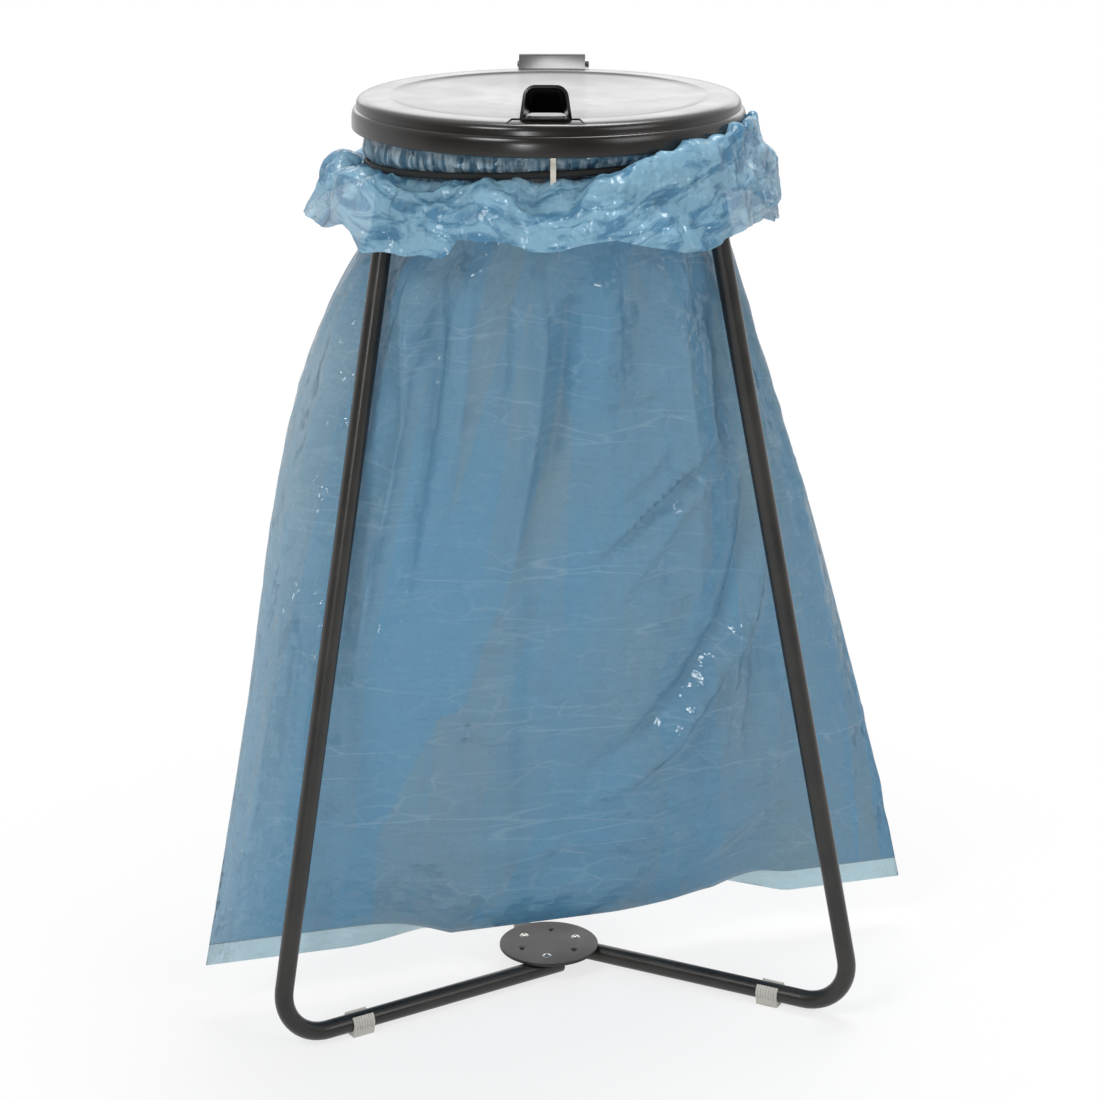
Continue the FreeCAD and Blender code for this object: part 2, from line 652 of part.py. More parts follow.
def bump(angle, centre, width, flat=0.0):
    """One in the middle, zero beyond the width on either side, in degrees."""
    away = abs((angle - centre + 180.0) % 360.0 - 180.0)
    return 1.0 - smooth(flat, width, away)


def mouth_radius():
    return RING_R - RING_WALL - GAP


def body_share(z):
    """Place between the hem, at 0, and the body's round top, at 1."""
    return (z - HEM_Z) / (BODY_TOP - HEM_Z)


def body_half_width(z):
    return mouth_radius() + (BAG_WIDTH / 2 - mouth_radius()) * (1.0 - body_share(z)) ** 0.72


def body_half_depth(z):
    share = max(0.0, (z - HEM_Z - HEM_H) / (BODY_TOP - HEM_Z - HEM_H))
    flat = FILM * 1.3
    return flat + (mouth_radius() - flat) * share ** 0.75


def gather_depth(z):
    """Depth of the film's gathers: none at the hem, deepest below the ring."""
    share = body_share(z)
    return GATHER_DEPTH * smooth(0.21, 0.85, share) * (1.0 - 0.8 * smooth(0.89, 1.0, share))


def leg_dent(angle, z):
    """How far the film is pushed in next to a leg, below the ring."""
    depth = 0.0
    for leg in LEGS:
        place = leg.at_height(z)
        direction = math.atan2(place.y / body_half_depth(z), place.x / body_half_width(z))
        depth += LEG_DENT * bump(angle, math.degrees(direction), 17.0, 4.0)
    return depth * smooth(0.78, 0.9, body_share(z))


def body_point(angle, z, inset):
    a = math.radians(angle)
    share = body_share(z)
    settled = smooth(0.35, 1.0, share)
    turn = math.radians(BAG_TURN) * (1.0 - settled)
    wave = math.cos(GATHERS * a + 1.3 * math.sin(3 * a) + 2.75 * share)
    depth = gather_depth(z) * (wave - 1.0) - leg_dent(angle, z)
    half_w = body_half_width(z) + depth - inset
    half_d = body_half_depth(z) + depth - inset
    x = half_w * math.cos(a - turn)
    y = half_d * math.sin(a - turn)
    shift = BAG_SHIFT * (1.0 - share) - BAG_SWAY * math.sin(math.pi * share ** 2.6)
    across = x * math.cos(turn) - y * math.sin(turn) + shift
    return V(across, x * math.sin(turn) + y * math.cos(turn), z)


def cuff_hem_z(angle):
    return CUFF_HEM_Z + sum(rise * bump(angle, at, width) for at, rise, width in CUFF_LOBES)


def film_line(angle):
    """Side of the film next to the ring, as (radius, z): up inside, over the lip, cuff."""
    inner = mouth_radius()
    outer = RING_R + GAP
    lip = LIP_R + GAP
    top = RING_TOP + GAP
    under_lip = RING_TOP - LIP_H - GAP
    tuck = bump(angle, 90.0, 38.0, 13.0)
    hook = bump(angle, math.degrees(math.atan2(-RING_R, HOOK_X)), 26.0)
    start = band_height(angle) - BAND_D / 2 - GAP - 1.4 - HOOK_TUCK * hook
    puff = 24.0 * bump(angle, 5.0, 72.0, 20.0) + 9.0 * bump(angle, 190.0, 36.0)
    puff = puff * (1.0 - tuck)
    a = math.radians(angle)
    ruffle = math.cos(GATHERS * a + 2.0 * math.sin(2 * a))
    flare = (CUFF_FLARE + 4.0 * math.sin(4 * a)) * (1.0 - tuck) + (FLANGE_R - RING_R - 3.0) * tuck
    hem = cuff_hem_z(angle) * (1.0 - tuck) + (RING_BASE + FLANGE_H + GAP + 2.0) * tuck
    free = 1.0 - tuck
    drop = start - hem
    return [
        (inner, RING_BASE - 10.0), (inner, top - 0.3), (inner + 0.4, top), (lip - 0.8, top),
        (lip, top - 0.8), (lip, under_lip), (outer, under_lip - 5.0), (outer, start),
        (outer + flare * 0.22, start - 2.0 * free - 1.0 * tuck),
        (outer + flare * 0.47, start - 0.12 * drop + puff * 0.75),
        (outer + flare * 0.7 + 1.5 * ruffle * free, start - 0.25 * drop + puff),
        (outer + flare * 0.93 + 4.0 * ruffle * free, start - 0.6 * drop + puff * 0.4),
        (outer + flare + 6.0 * ruffle * free, hem),
    ]


def thicken(line, amount):
    """Move each point of a line to its left by the film's thickness."""
    result = []
    for i, (r, z) in enumerate(line):
        before = line[max(0, i - 1)]
        after = line[min(len(line) - 1, i + 1)]
        ways = []
        for (r0, z0), (r1, z1) in ((before, (r, z)), ((r, z), after)):
            length = math.hypot(r1 - r0, z1 - z0)
            if length > 0:
                ways.append((-(z1 - z0) / length, (r1 - r0) / length))
        nr = sum(w[0] for w in ways)
        nz = sum(w[1] for w in ways)
        size = math.hypot(nr, nz)
        result.append((r + amount * nr / size, z + amount * nz / size))
    return result


def around(function):
    """Points of one closed section, from a function of the direction."""
    step = 360.0 / SECTION_POINTS
    return [function(i * step) for i in range(SECTION_POINTS)]


def facet(corners):
    return Part.Face(Part.makePolygon(corners + corners[:1]))


def skin(low, high):
    """Flat facets between two sections with the same number of points."""
    faces = []
    for i in range(len(low)):
        j = (i + 1) % len(low)
        faces.append(facet([low[i], low[j], high[j]]))
        faces.append(facet([low[i], high[j], high[i]]))
    return faces


def film_point(angle, index, offset):
    line = film_line(angle)
    if offset:
        line = thicken(line, offset)
    r, z = line[index]
    return polar(r, angle, z)


def bin_bag():
    """Film bag: body with gathers, flat hem, collar over the ring and ruffled cuff."""
    hem_top = HEM_Z + HEM_H
    levels = [hem_top + (BODY_TOP - hem_top) * share for share in BODY_SHARES]
    ring_side = [around(lambda angle: body_point(angle, z, 0.0)) for z in [HEM_Z, hem_top] + levels]
    free_side = [around(lambda angle: body_point(angle, z, FILM)) for z in levels]
    for index in range(len(film_line(0.0))):
        ring_side.append(around(lambda angle: film_point(angle, index, 0.0)))
        free_side.append(around(lambda angle: film_point(angle, index, FILM)))
    rings = ring_side + free_side[::-1]
    faces = [facet(rings[0]), facet(rings[-1])]
    for low, high in zip(rings, rings[1:]):
        faces += skin(low, high)
    bag = Part.makeSolid(Part.makeShell(faces))
    if bag.Volume < 0:
        bag.reverse()
    return bag


def build():
    for leg, name in zip(LEGS, LEG_NAMES):
        save(name + "_leg", leg_tube(leg))
        save(name + "_foot", foot_glide(leg))
        save(name + "_leg_screw", leg_screw(leg))
    for leg, name in zip(LEGS, ("back", "left", "right")):
        save("hub_rivet_" + name, blind_rivet(leg))
    save("hub_plate", hub_plate())
    save("bag_ring", bag_ring())
    save("hinge_bracket", hinge_bracket())
    save("bracket_screw_left", bracket_screw(-1))
    save("bracket_screw_right", bracket_screw(1))
    save("hinge_pin", hinge_pin())
    save("pin_cap", pin_cap())
    save("lid", lid())
    save("elastic_band", elastic_band())
    save("band_hook", band_hook())
    save("bin_bag", bin_bag(), merge=False)


build()
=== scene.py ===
import math

import bmesh
import bpy
import numpy as np
from bpy.props import FloatProperty, FloatVectorProperty, PointerProperty
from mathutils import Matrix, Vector, geometry, noise


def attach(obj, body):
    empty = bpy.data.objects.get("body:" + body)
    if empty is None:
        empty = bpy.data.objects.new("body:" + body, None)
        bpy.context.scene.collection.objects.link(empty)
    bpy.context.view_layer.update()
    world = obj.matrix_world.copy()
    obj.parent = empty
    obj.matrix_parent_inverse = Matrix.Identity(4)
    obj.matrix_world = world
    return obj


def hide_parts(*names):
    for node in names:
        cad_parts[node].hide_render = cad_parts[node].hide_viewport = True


bl_info = {
    "name": "Bin bag holder",
    "version": (1, 0, 0),
    "blender": (4, 5, 0),
    "location": "3D View > Sidebar > Bin bag holder",
    "description": "Dresses the packed tripod bin bag holder: film bag, lid, tubes, glides and band",
    "category": "Object",
}

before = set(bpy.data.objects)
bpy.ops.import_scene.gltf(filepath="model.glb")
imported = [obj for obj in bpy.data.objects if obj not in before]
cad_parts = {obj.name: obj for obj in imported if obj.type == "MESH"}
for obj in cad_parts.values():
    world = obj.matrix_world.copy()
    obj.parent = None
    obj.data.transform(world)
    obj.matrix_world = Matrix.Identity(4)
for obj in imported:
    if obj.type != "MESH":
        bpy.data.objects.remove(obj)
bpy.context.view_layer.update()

MM = 0.001
NEAR = 0.001        # metres within which a corner counts as at its place
WHITE = "FFFFFF"


# Materials

def linear(hex_colour):
    """Linear RGBA of an sRGB hex colour such as 8FA3AD."""
    channels = [int(hex_colour[i:i + 2], 16) / 255 for i in (0, 2, 4)]
    curve = [c / 12.92 if c <= 0.04045 else ((c + 0.055) / 1.055) ** 2.4 for c in channels]
    return (*curve, 1.0)


def add_node(tree, kind, links=None, **settings):
    """Add one node, with its properties, and its sockets' values or what is linked to them."""
    node = tree.nodes.new("ShaderNode" + kind)
    for name, value in settings.items():
        setattr(node, name, value)
    for socket, value in (links or {}).items():
        if isinstance(value, bpy.types.Node):
            value = value.outputs[0]
        if isinstance(value, bpy.types.NodeSocket):
            tree.links.new(value, node.inputs[socket])
        else:
            node.inputs[socket].default_value = value
    return node


def new_material(name):
    """An empty material with a Principled shader wired to its output."""
    material = bpy.data.materials.new(name)
    material.use_nodes = True
    tree = material.node_tree
    tree.nodes.clear()
    shader = add_node(tree, "BsdfPrincipled")
    add_node(tree, "OutputMaterial", {"Surface": shader})
    return material, tree, shader


def object_pattern(tree, grain_mm):
    """Object coordinates in which one unit of a pattern is that many millimetres."""
    where = add_node(tree, "TexCoord").outputs["Object"]
    return add_node(tree, "Mapping", {"Vector": where, "Scale": [1000.0 / grain_mm] * 3})


def sheet_pattern(tree, wide, long):
    """The film's own UV map, where one unit of a pattern is that many millimetres across and down."""
    sheet = add_node(tree, "UVMap", uv_map="sheet")
    return add_node(tree, "Mapping", {"Vector": sheet, "Scale": (1000.0 / wide, 1000.0 / long, 1.0)})


def output(tree, shader):
    """Wire another shader to the material's output."""
    target = next(node for node in tree.nodes if node.type == "OUTPUT_MATERIAL")
    tree.links.new(shader.outputs[0], target.inputs["Surface"])


# Mesh helpers

def mode(name):
    bpy.ops.object.mode_set(mode=name)


def deselect():
    if bpy.context.object and bpy.context.object.mode != "OBJECT":
        mode("OBJECT")
    bpy.ops.object.select_all(action="DESELECT")


def finish_piece(obj, name, body, material, replaced=()):
    """Name a finished piece, give it its material and body, and hide what it stands for."""
    obj.name = name
    obj.data.name = name
    obj.data.materials.clear()
    obj.data.materials.append(material)
    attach(obj, body)
    if replaced:
        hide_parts(*replaced)


def pick(obj, kind, test):
    """In edit mode, select the vertices, edges or faces that pass a test of place and direction."""
    bpy.ops.mesh.select_mode(type=kind)
    bpy.ops.mesh.select_all(action="DESELECT")
    mesh = bmesh.from_edit_mesh(obj.data)
    for item in {"VERT": mesh.verts, "EDGE": mesh.edges, "FACE": mesh.faces}[kind]:
        if kind == "VERT":
            place, way = item.co, item.normal
        elif kind == "EDGE":
            place = (item.verts[0].co + item.verts[1].co) / 2
            way = (item.verts[1].co - item.verts[0].co).normalized()
        else:
            place, way = item.calc_center_median(), item.normal
        if test(item, place, way):
            item.select_set(True)
    mesh.select_flush_mode()
    bmesh.update_edit_mesh(obj.data)


def face_out(obj, middle):
    """Turn an open shell's faces away from a point inside it."""
    mode("EDIT")
    bpy.ops.mesh.select_all(action="SELECT")
    bpy.ops.mesh.normals_make_consistent(inside=False)
    mode("OBJECT")
    outward = sum((face.center - middle).dot(face.normal) * face.area for face in obj.data.polygons)
    if outward < 0:
        mode("EDIT")
        bpy.ops.mesh.flip_normals()
        mode("OBJECT")


def drawn_round(line, sides):
    """A circle drawn through radii and heights in millimetres, closed where it ends inside."""
    deselect()
    radius, height = line[0]
    bpy.ops.mesh.primitive_circle_add(vertices=sides, radius=radius * MM, location=(0.0, 0.0, height * MM))
    obj = bpy.context.object
    mode("EDIT")
    bpy.ops.mesh.select_all(action="SELECT")
    for (r0, z0), (r1, z1) in zip(line, line[1:]):
        bpy.ops.mesh.extrude_region_move(TRANSFORM_OT_translate={"value": (0.0, 0.0, (z1 - z0) * MM)})
        bpy.ops.transform.resize(value=(r1 / r0, r1 / r0, 1.0), center_override=(0.0, 0.0, z1 * MM))
    if line[-1][0] < radius / 2:
        bpy.ops.mesh.merge(type="CENTER")
    mode("OBJECT")
    bpy.ops.object.transform_apply()
    low = min(z for r, z in line)
    face_out(obj, Vector((0.0, 0.0, (low - 10.0) * MM if line[-1][0] < radius / 2 else height * MM)))
    return obj


def thicken_wall(obj, wall):
    """Give an outer skin its wall, on the inner side."""
    bpy.context.view_layer.objects.active = obj
    solid = obj.modifiers.new("wall", "SOLIDIFY")
    solid.thickness = wall
    solid.offset = -1.0
    solid.use_even_offset = True
    bpy.ops.object.modifier_apply(modifier="wall")


def round_edges(obj, width, segments, angle):
    """Round the edges that are sharper than an angle in degrees."""
    bpy.context.view_layer.objects.active = obj
    soft = obj.modifiers.new("soft", "BEVEL")
    soft.width = width
    soft.segments = segments
    soft.limit_method = "ANGLE"
    soft.angle_limit = math.radians(angle)
    bpy.ops.object.modifier_apply(modifier="soft")


# Camera of the photograph, in millimetres and degrees

CAMERA_AT = (46.4, -2590.6, 1270.9)
CAMERA_YAW = 1.0
CAMERA_PITCH = 17.70
CAMERA_LENS = 91.50
CAMERA_SENSOR = 36.0
FRAME_PIXELS = 1100
ROOM_LIGHT = 0.4          # strength of the plain light from all round
ROOM_IN_GLOSS = 0.25      # brightness of the camera's side of the room, in gloss


# Sizes of the bag's film and of what it hangs on, in millimetres, as in the part's source

RING_R = 163.0
RING_TOP = 856.0
LIP_R = 168.0
LIP_H = 3.5
FLANGE_R = 172.0
FLANGE_TOP = 809.0
GAP = 0.3
FILM_MIDDLE = 1.0
BAND_D = 6.6
BAND_Z = 833.0
BAND_TILT = 3.85
BAND_HIGH_SIDE = -45.0
HEM_Z = 51.0
HEM_H = 22.0
HEM_WELD = 0.0222       # down the sheet's own map, in metres
BODY_TOP = 766.0
BAG_TURN = 17.8
BAG_SHIFT = 16.0
BAG_SWAY = 17.0
LEG_DENT = 7.0
GATHER_DEPTH = 7.0
GATHERS_ROUND = 18
MOUTH_R = 159.7
RIVET_PCD = 60.8
RIVET_ANGLE = 147.3
RUN_ANGLE = 93.8
RUN_LENGTH = 305.5
RUN_Z = 12.5
TOP_ANGLE = 91.4
TOP_R = 158.55
LEAN_Z = 860.0
BODY_ROWS = 98
BAG_COLUMNS = 400
CUFF_FLARE = 52.0
FILM_SMOOTH_ANGLE = 75.0
# Height of the cuff's hem by direction, with the corners where its folds end
CUFF_HEM = ((-180.0, 785.0), (-168.0, 780.0), (-156.5, 779.0), (-145.0, 787.0), (-138.0, 768.0),
            (-115.0, 772.5), (-111.0, 788.0), (-102.0, 791.0), (-93.5, 783.0), (-86.0, 784.0),
            (-73.5, 793.0), (-70.0, 789.0), (-57.0, 774.0), (-48.0, 775.0), (-36.0, 784.0),
            (-25.0, 787.0), (-10.0, 776.0), (10.0, 771.0), (22.0, 776.0), (40.0, 779.0), (60.0, 781.0),
            (120.0, 781.0), (150.0, 787.0), (165.0, 783.0), (180.0, 785.0))


def smooth(edge0, edge1, x):
    t = np.clip((x - edge0) / (edge1 - edge0), 0.0, 1.0)
    return t * t * (3 - 2 * t)


def bump(angle, centre, width, flat=0.0):
    """One in the middle, zero beyond the width on either side, in degrees."""
    away = np.abs((angle - centre + 180.0) % 360.0 - 180.0)
    return 1.0 - smooth(flat, width, away)


def band_height(angle):
    radius = RING_R + 2 * GAP + 2.0 + BAND_D / 2
    lean = math.tan(math.radians(BAND_TILT)) * radius
    return BAND_Z + lean * np.cos(np.radians(angle - BAND_HIGH_SIDE))


# The bag's film

# Long folds of the front, as the camera sees them in the 1100 x 1100 frame: height and half width
# in millimetres, then the points that each runs through. A negative height is a valley.
BODY_FOLDS = (
    (5.0, 9.0, ((366, 250), (340, 330), (318, 420), (300, 520))),
    (-4.0, 7.0, ((380, 262), (372, 330), (368, 400))),
    (9.0, 9.0, ((411, 256), (410, 330), (407, 418), (392, 480), (372, 560), (352, 680))),
    (-8.0, 9.0, ((438, 258), (438, 330), (432, 420), (415, 520), (402, 620))),
    (4.0, 12.0, ((470, 260), (466, 360), (452, 480))),
    (-3.0, 10.0, ((505, 258), (502, 330), (498, 420))),
    (7.0, 9.0, ((537, 254), (543, 340), (536, 420), (520, 515), (500, 620))),
    (-6.0, 9.0, ((566, 256), (566, 330), (560, 420), (548, 500))),
    (4.0, 10.0, ((600, 256), (606, 330), (600, 400))),
    (-4.0, 10.0, ((640, 256), (642, 330), (640, 390))),
    (5.0, 8.0, ((672, 256), (680, 330), (692, 420), (700, 520), (700, 600))),
    (-5.0, 6.0, ((706, 250), (714, 330), (722, 400), (722, 480))),
    (6.0, 4.0, ((716, 424), (700, 452), (655, 500), (607, 556))),
    (-5.0, 5.0, ((716, 440), (690, 478), (640, 528), (590, 580))),
    (4.0, 4.0, ((716, 458), (690, 500), (655, 552), (620, 600))),
    (8.0, 6.0, ((762, 440), (764, 520), (748, 614), (706, 690), (674, 740), (630, 778), (574, 803))),
    (-7.0, 7.0, ((744, 470), (742, 540), (722, 620), (680, 690), (640, 735), (590, 768))),
    (4.0, 5.0, ((742, 590), (734, 660), (722, 740), (712, 804))),
    (-4.0, 5.0, ((758, 620), (752, 700), (740, 770))),
    (4.0, 6.0, ((780, 640), (776, 720), (768, 800))),
    (3.0, 5.0, ((794, 784), (740, 822), (680, 866))),
    (-3.0, 5.0, ((800, 800), (752, 836), (700, 874))),
    (3.0, 5.0, ((806, 816), (776, 842), (740, 866))),
    (3.0, 6.0, ((288, 560), (276, 660), (262, 760), (248, 860))),
    (-3.0, 6.0, ((302, 580), (292, 680), (280, 780))),
    (3.0, 7.0, ((318, 600), (306, 720), (296, 840))),
)
# Short crumples across the front, smaller and sharper
BODY_CRUMPLES = (
    (2.4, 2.6, ((460, 646), (492, 643), (526, 645))),
    (-2.0, 2.6, ((470, 654), (510, 652))),
    (2.0, 2.6, ((520, 611), (545, 607), (560, 606))),
    (1.8, 2.6, ((476, 672), (506, 667), (530, 668))),
    (1.8, 2.6, ((418, 712), (440, 706), (470, 712))),
    (2.0, 2.6, ((408, 738), (450, 733), (500, 738), (548, 740))),
    (-1.6, 2.6, ((430, 730), (480, 727), (520, 731))),
    (1.4, 2.6, ((490, 752), (515, 750))),
    (2.0, 3.0, ((590, 404), (620, 396), (650, 398))),
    (-2.0, 3.0, ((600, 416), (640, 404), (668, 392))),
    (1.6, 2.6, ((460, 418), (480, 411), (500, 408))),
    (2.0, 3.0, ((612, 508), (650, 470), (672, 440))),
    (1.8, 3.0, ((560, 300), (575, 286), (590, 290))),
    (2.0, 3.0, ((655, 310), (668, 320), (680, 336))),
    (1.6, 3.0, ((600, 330), (622, 322), (636, 312))),
    (1.6, 2.6, ((408, 362), (414, 360), (420, 364))),
)
FOLD_GAIN = 1.6
CRUMPLE_GAIN = 2.6
# Facets of the film: lift, width and length in millimetres, and the seed of their heights
BODY_FACETS = {"gathers": (3.4, 17.0, 190.0, 3), "panels": (5.0, 42.0, 260.0, 5),
               "wrinkles": (3.4, 44.0, 16.0, 7), "crackle": (1.8, 15.0, 15.0, 11)}
CUFF_FACETS = {"gathers": (4.6, 9.0, 60.0, 21), "pleats": (9.5, 22.0, 80.0, 23),
               "broad": (8.0, 40.0, 34.0, 25), "small": (4.6, 16.0, 17.0, 27), "fine": (1.1, 6.5, 8.0, 29)}
ROLL_FACETS = (11.0, 150.0, 15.0, 31)
RUFFLE_H = 6.0


def seen_from_front(points):
    """Where points in millimetres fall in the camera's 1100 x 1100 frame, as across and down."""
    yaw = math.radians(CAMERA_YAW)
    pitch = math.radians(CAMERA_PITCH)
    forward = np.array([-math.sin(yaw) * math.cos(pitch), math.cos(yaw) * math.cos(pitch),
                        -math.sin(pitch)])
    right = np.array([math.cos(yaw), math.sin(yaw), 0.0])
    up = np.cross(right, forward)
    away = points - np.array(CAMERA_AT)
    depth = away @ forward
    pixels = FRAME_PIXELS * CAMERA_LENS / CAMERA_SENSOR
    middle = FRAME_PIXELS / 2
    return np.stack([middle + pixels * (away @ right) / depth, middle - pixels * (away @ up) / depth],
                    axis=-1)


def grid_normals(rows):
    """Outward normals of closed rings of points."""
    along = np.gradient(rows, axis=0)
    around = np.roll(rows, -1, axis=1) - np.roll(rows, 1, axis=1)
    normal = np.cross(around, along)
    return normal / np.maximum(np.linalg.norm(normal, axis=-1, keepdims=True), 1e-9)


def along_path(places, path):
    """Distance from each place to a path of points, and how far along it that is, from 0 to 1."""
    path = np.array(path, float)
    steps = np.linalg.norm(np.diff(path, axis=0), axis=1)
    start = np.concatenate([[0.0], np.cumsum(steps)])
    best = np.full(places.shape[:-1], 1e9)
    share = np.zeros(places.shape[:-1])
    for i, step in enumerate(steps):
        way = (path[i + 1] - path[i]) / step
        run = np.clip((places - path[i]) @ way, 0.0, step)
        gap = np.linalg.norm(places - path[i] - run[..., None] * way, axis=-1)
        nearer = gap < best
        best = np.where(nearer, gap, best)
        share = np.where(nearer, (start[i] + run) / start[-1], share)
    return best, share


def fold_field(places, folds, fade=0.25):
    """Height of a set of folds at places in the camera's frame, fading out at both ends."""
    height = np.zeros(places.shape[:-1])
    for rise, half, path in folds:
        gap, share = along_path(places, path)
        ends = smooth(0.0, fade, share) * smooth(0.0, fade, 1.0 - share)
        height += rise * np.exp(-(gap / half) ** 1.4) * (0.25 + 0.75 * ends) * (share > 0) * (share < 1)
    return height


# The sheet's own coordinates and its creases

DRUM = 1194.0      # the film's length round the ring, as the creases see it


def sheet_coordinates(rows, around):
    """Distance round the film from the back and down it from the hem, in millimetres."""
    steps = np.linalg.norm(np.diff(rows, axis=0), axis=-1)
    down = np.concatenate([np.zeros((1, rows.shape[1])), np.cumsum(steps, axis=0)])
    across = np.broadcast_to((around - 90.0) / 360.0 * DRUM, down.shape)
    return across, down


def field(across, down, wide, long, seed):
    """Smooth random field from about -1 to 1, of that width and length in millimetres."""
    turn = across / DRUM * 2 * math.pi
    radius = DRUM / (2 * math.pi) / wide
    places = np.stack([radius * np.cos(turn), radius * np.sin(turn), down / long + seed], axis=-1)
    values = [noise.noise(Vector(p)) for p in places.reshape(-1, 3)]
    return np.array(values).reshape(across.shape) * 1.6


def facets(across, down, wide, long, seed):
    """Flat facets between straight creases, as in handled film: heights from -1 to 1."""
    draw = np.random.RandomState(seed)
    count = max(6, round(DRUM / wide))
    u = across.ravel() / DRUM * count
    v = down.ravel() / long
    lines = range(int(math.floor(v.min())) - 2, int(math.ceil(v.max())) + 3)
    places, heights = [], []
    for i in lines:
        shift = draw.uniform(-0.4, 0.4, (count, 2))
        rise = draw.uniform(-1.0, 1.0, count)
        for j in range(-3, count + 3):
            k = j % count
            places.append(Vector((j + 0.5 * (i % 2) + shift[k, 0], i + shift[k, 1])))
            heights.append(rise[k])
    mesh = geometry.delaunay_2d_cdt(places, [], [], 0, 1e-6)
    corners = np.array([tuple(p) for p in mesh[0]])
    lift = np.array([heights[source[0]] for source in mesh[3]])
    result = np.zeros(len(u))
    for triangle in mesh[2]:
        a, b, c = corners[list(triangle)]
        near = np.nonzero((u >= min(a[0], b[0], c[0])) & (u <= max(a[0], b[0], c[0]))
                          & (v >= min(a[1], b[1], c[1])) & (v <= max(a[1], b[1], c[1])))[0]
        area = (b[0] - a[0]) * (c[1] - a[1]) - (c[0] - a[0]) * (b[1] - a[1])
        if not len(near) or abs(area) < 1e-9:
            continue
        pu, pv = u[near], v[near]
        share_b = ((pu - a[0]) * (c[1] - a[1]) - (c[0] - a[0]) * (pv - a[1])) / area
        share_c = ((b[0] - a[0]) * (pv - a[1]) - (pu - a[0]) * (b[1] - a[1])) / area
        inside = (share_b >= -1e-6) & (share_c >= -1e-6) & (share_b + share_c <= 1 + 1e-6)
        height = lift[list(triangle)]
        values = height[0] + share_b * (height[1] - height[0]) + share_c * (height[2] - height[0])
        result[near[inside]] = values[inside]
    return result.reshape(across.shape)


def lifted(across, down, size):
    """Facets of one size, in millimetres of lift."""
    lift, wide, long, seed = size
    return facets(across, down, wide, long, seed) * lift


def film_columns(count):
    """Directions of the film's columns from the back round to the back, closer on the front."""
    even = 90.0 + 360.0 * np.arange(count) / count
    return even - 14.0 * np.cos(np.radians(even))


def leg_places(z):
    """Middle of each leg at a height, as in the part's source."""
    for index in range(3):
        turn = 120.0 * index
        rivet, run, top = (np.array([math.cos(math.radians(a + turn)), math.sin(math.radians(a + turn))])
                           for a in (RIVET_ANGLE, RUN_ANGLE, TOP_ANGLE))
        corner = rivet * RIVET_PCD / 2 + run * RUN_LENGTH
        yield corner + (top * TOP_R - corner) * (z - RUN_Z) / (LEAN_Z - RUN_Z)


def body_rings(around, width):
    """Rings of the hanging body, from the hem up to below the ring, in millimetres."""
    heights = np.concatenate([np.linspace(HEM_Z, HEM_Z + HEM_H, 6)[:-1],
                              np.linspace(HEM_Z + HEM_H, BODY_TOP, BODY_ROWS)])
    z = heights[:, None]
    angle = around[None, :]
    a = np.radians(angle)
    share = (z - HEM_Z) / (BODY_TOP - HEM_Z)
    above = np.clip((z - HEM_Z - HEM_H) / (BODY_TOP - HEM_Z - HEM_H), 0.0, 1.0)
    settled = smooth(0.35, 1.0, share)
    turn = np.radians(BAG_TURN) * (1.0 - settled)
    half_w = MOUTH_R + (width / 2 - MOUTH_R) * (1.0 - share) ** 0.72
    half_d = 0.6 + (MOUTH_R - 1.6) * above ** 0.75
    depth = GATHER_DEPTH * smooth(0.21, 0.85, share) * (1.0 - 0.8 * smooth(0.89, 1.0, share))
    wave = np.cos(GATHERS_ROUND * a + 1.3 * np.sin(3 * a) + 2.75 * share)
    front = smooth(-0.2, 0.5, -np.sin(a - turn))
    side = np.abs(np.cos(a - turn)) ** 3
    gather = depth * (wave - 1.0) * (1.0 - 0.55 * front) * (1.0 - 0.6 * side)
    # The film gives way beside each leg
    dent = np.zeros((len(heights), len(around)))
    for i, height in enumerate(heights):
        for place in leg_places(height):
            way = math.degrees(math.atan2(place[1] / half_d[i, 0], place[0] / half_w[i, 0]))
            dent[i] += bump(around, way, 17.0, 4.0)
    dent = LEG_DENT * dent * smooth(0.72, 0.86, share)
    x = (half_w + gather - dent - FILM_MIDDLE) * np.cos(a - turn)
    y = (half_d + np.minimum(gather, 0.0) - dent * (half_d > 40.0)) * np.sin(a - turn)
    shift = BAG_SHIFT * (1.0 - share) - BAG_SWAY * np.sin(np.pi * share ** 2.6)
    return np.stack([x * np.cos(turn) - y * np.sin(turn) + shift,
                     x * np.sin(turn) + y * np.cos(turn), np.broadcast_to(z, x.shape)], axis=-1)


def along_curve(line, rows_between, first_curved):
    """Rows through a list of (radius, height) stations, curved from one station on."""
    rows = []
    for i, count in enumerate(rows_between):
        p0, p1, p2 = line[max(i - 1, 0)], line[i], line[i + 1]
        p3 = line[min(i + 2, len(line) - 1)]
        for k in range(count):
            t = k / count
            curve = 0.5 * (2 * p1 + (p2 - p0) * t + (2 * p0 - 5 * p1 + 4 * p2 - p3) * t ** 2
                           + (3 * p1 - p0 - 3 * p2 + p3) * t ** 3)
            rows.append(curve if i >= first_curved else p1 + (p2 - p1) * t)
    rows.append(line[-1])
    return np.stack(rows)


def round_ring(profile, around):
    a = np.radians(around)[None, :]
    return np.stack([profile[..., 0] * np.cos(a), profile[..., 0] * np.sin(a), profile[..., 1]], axis=-1)


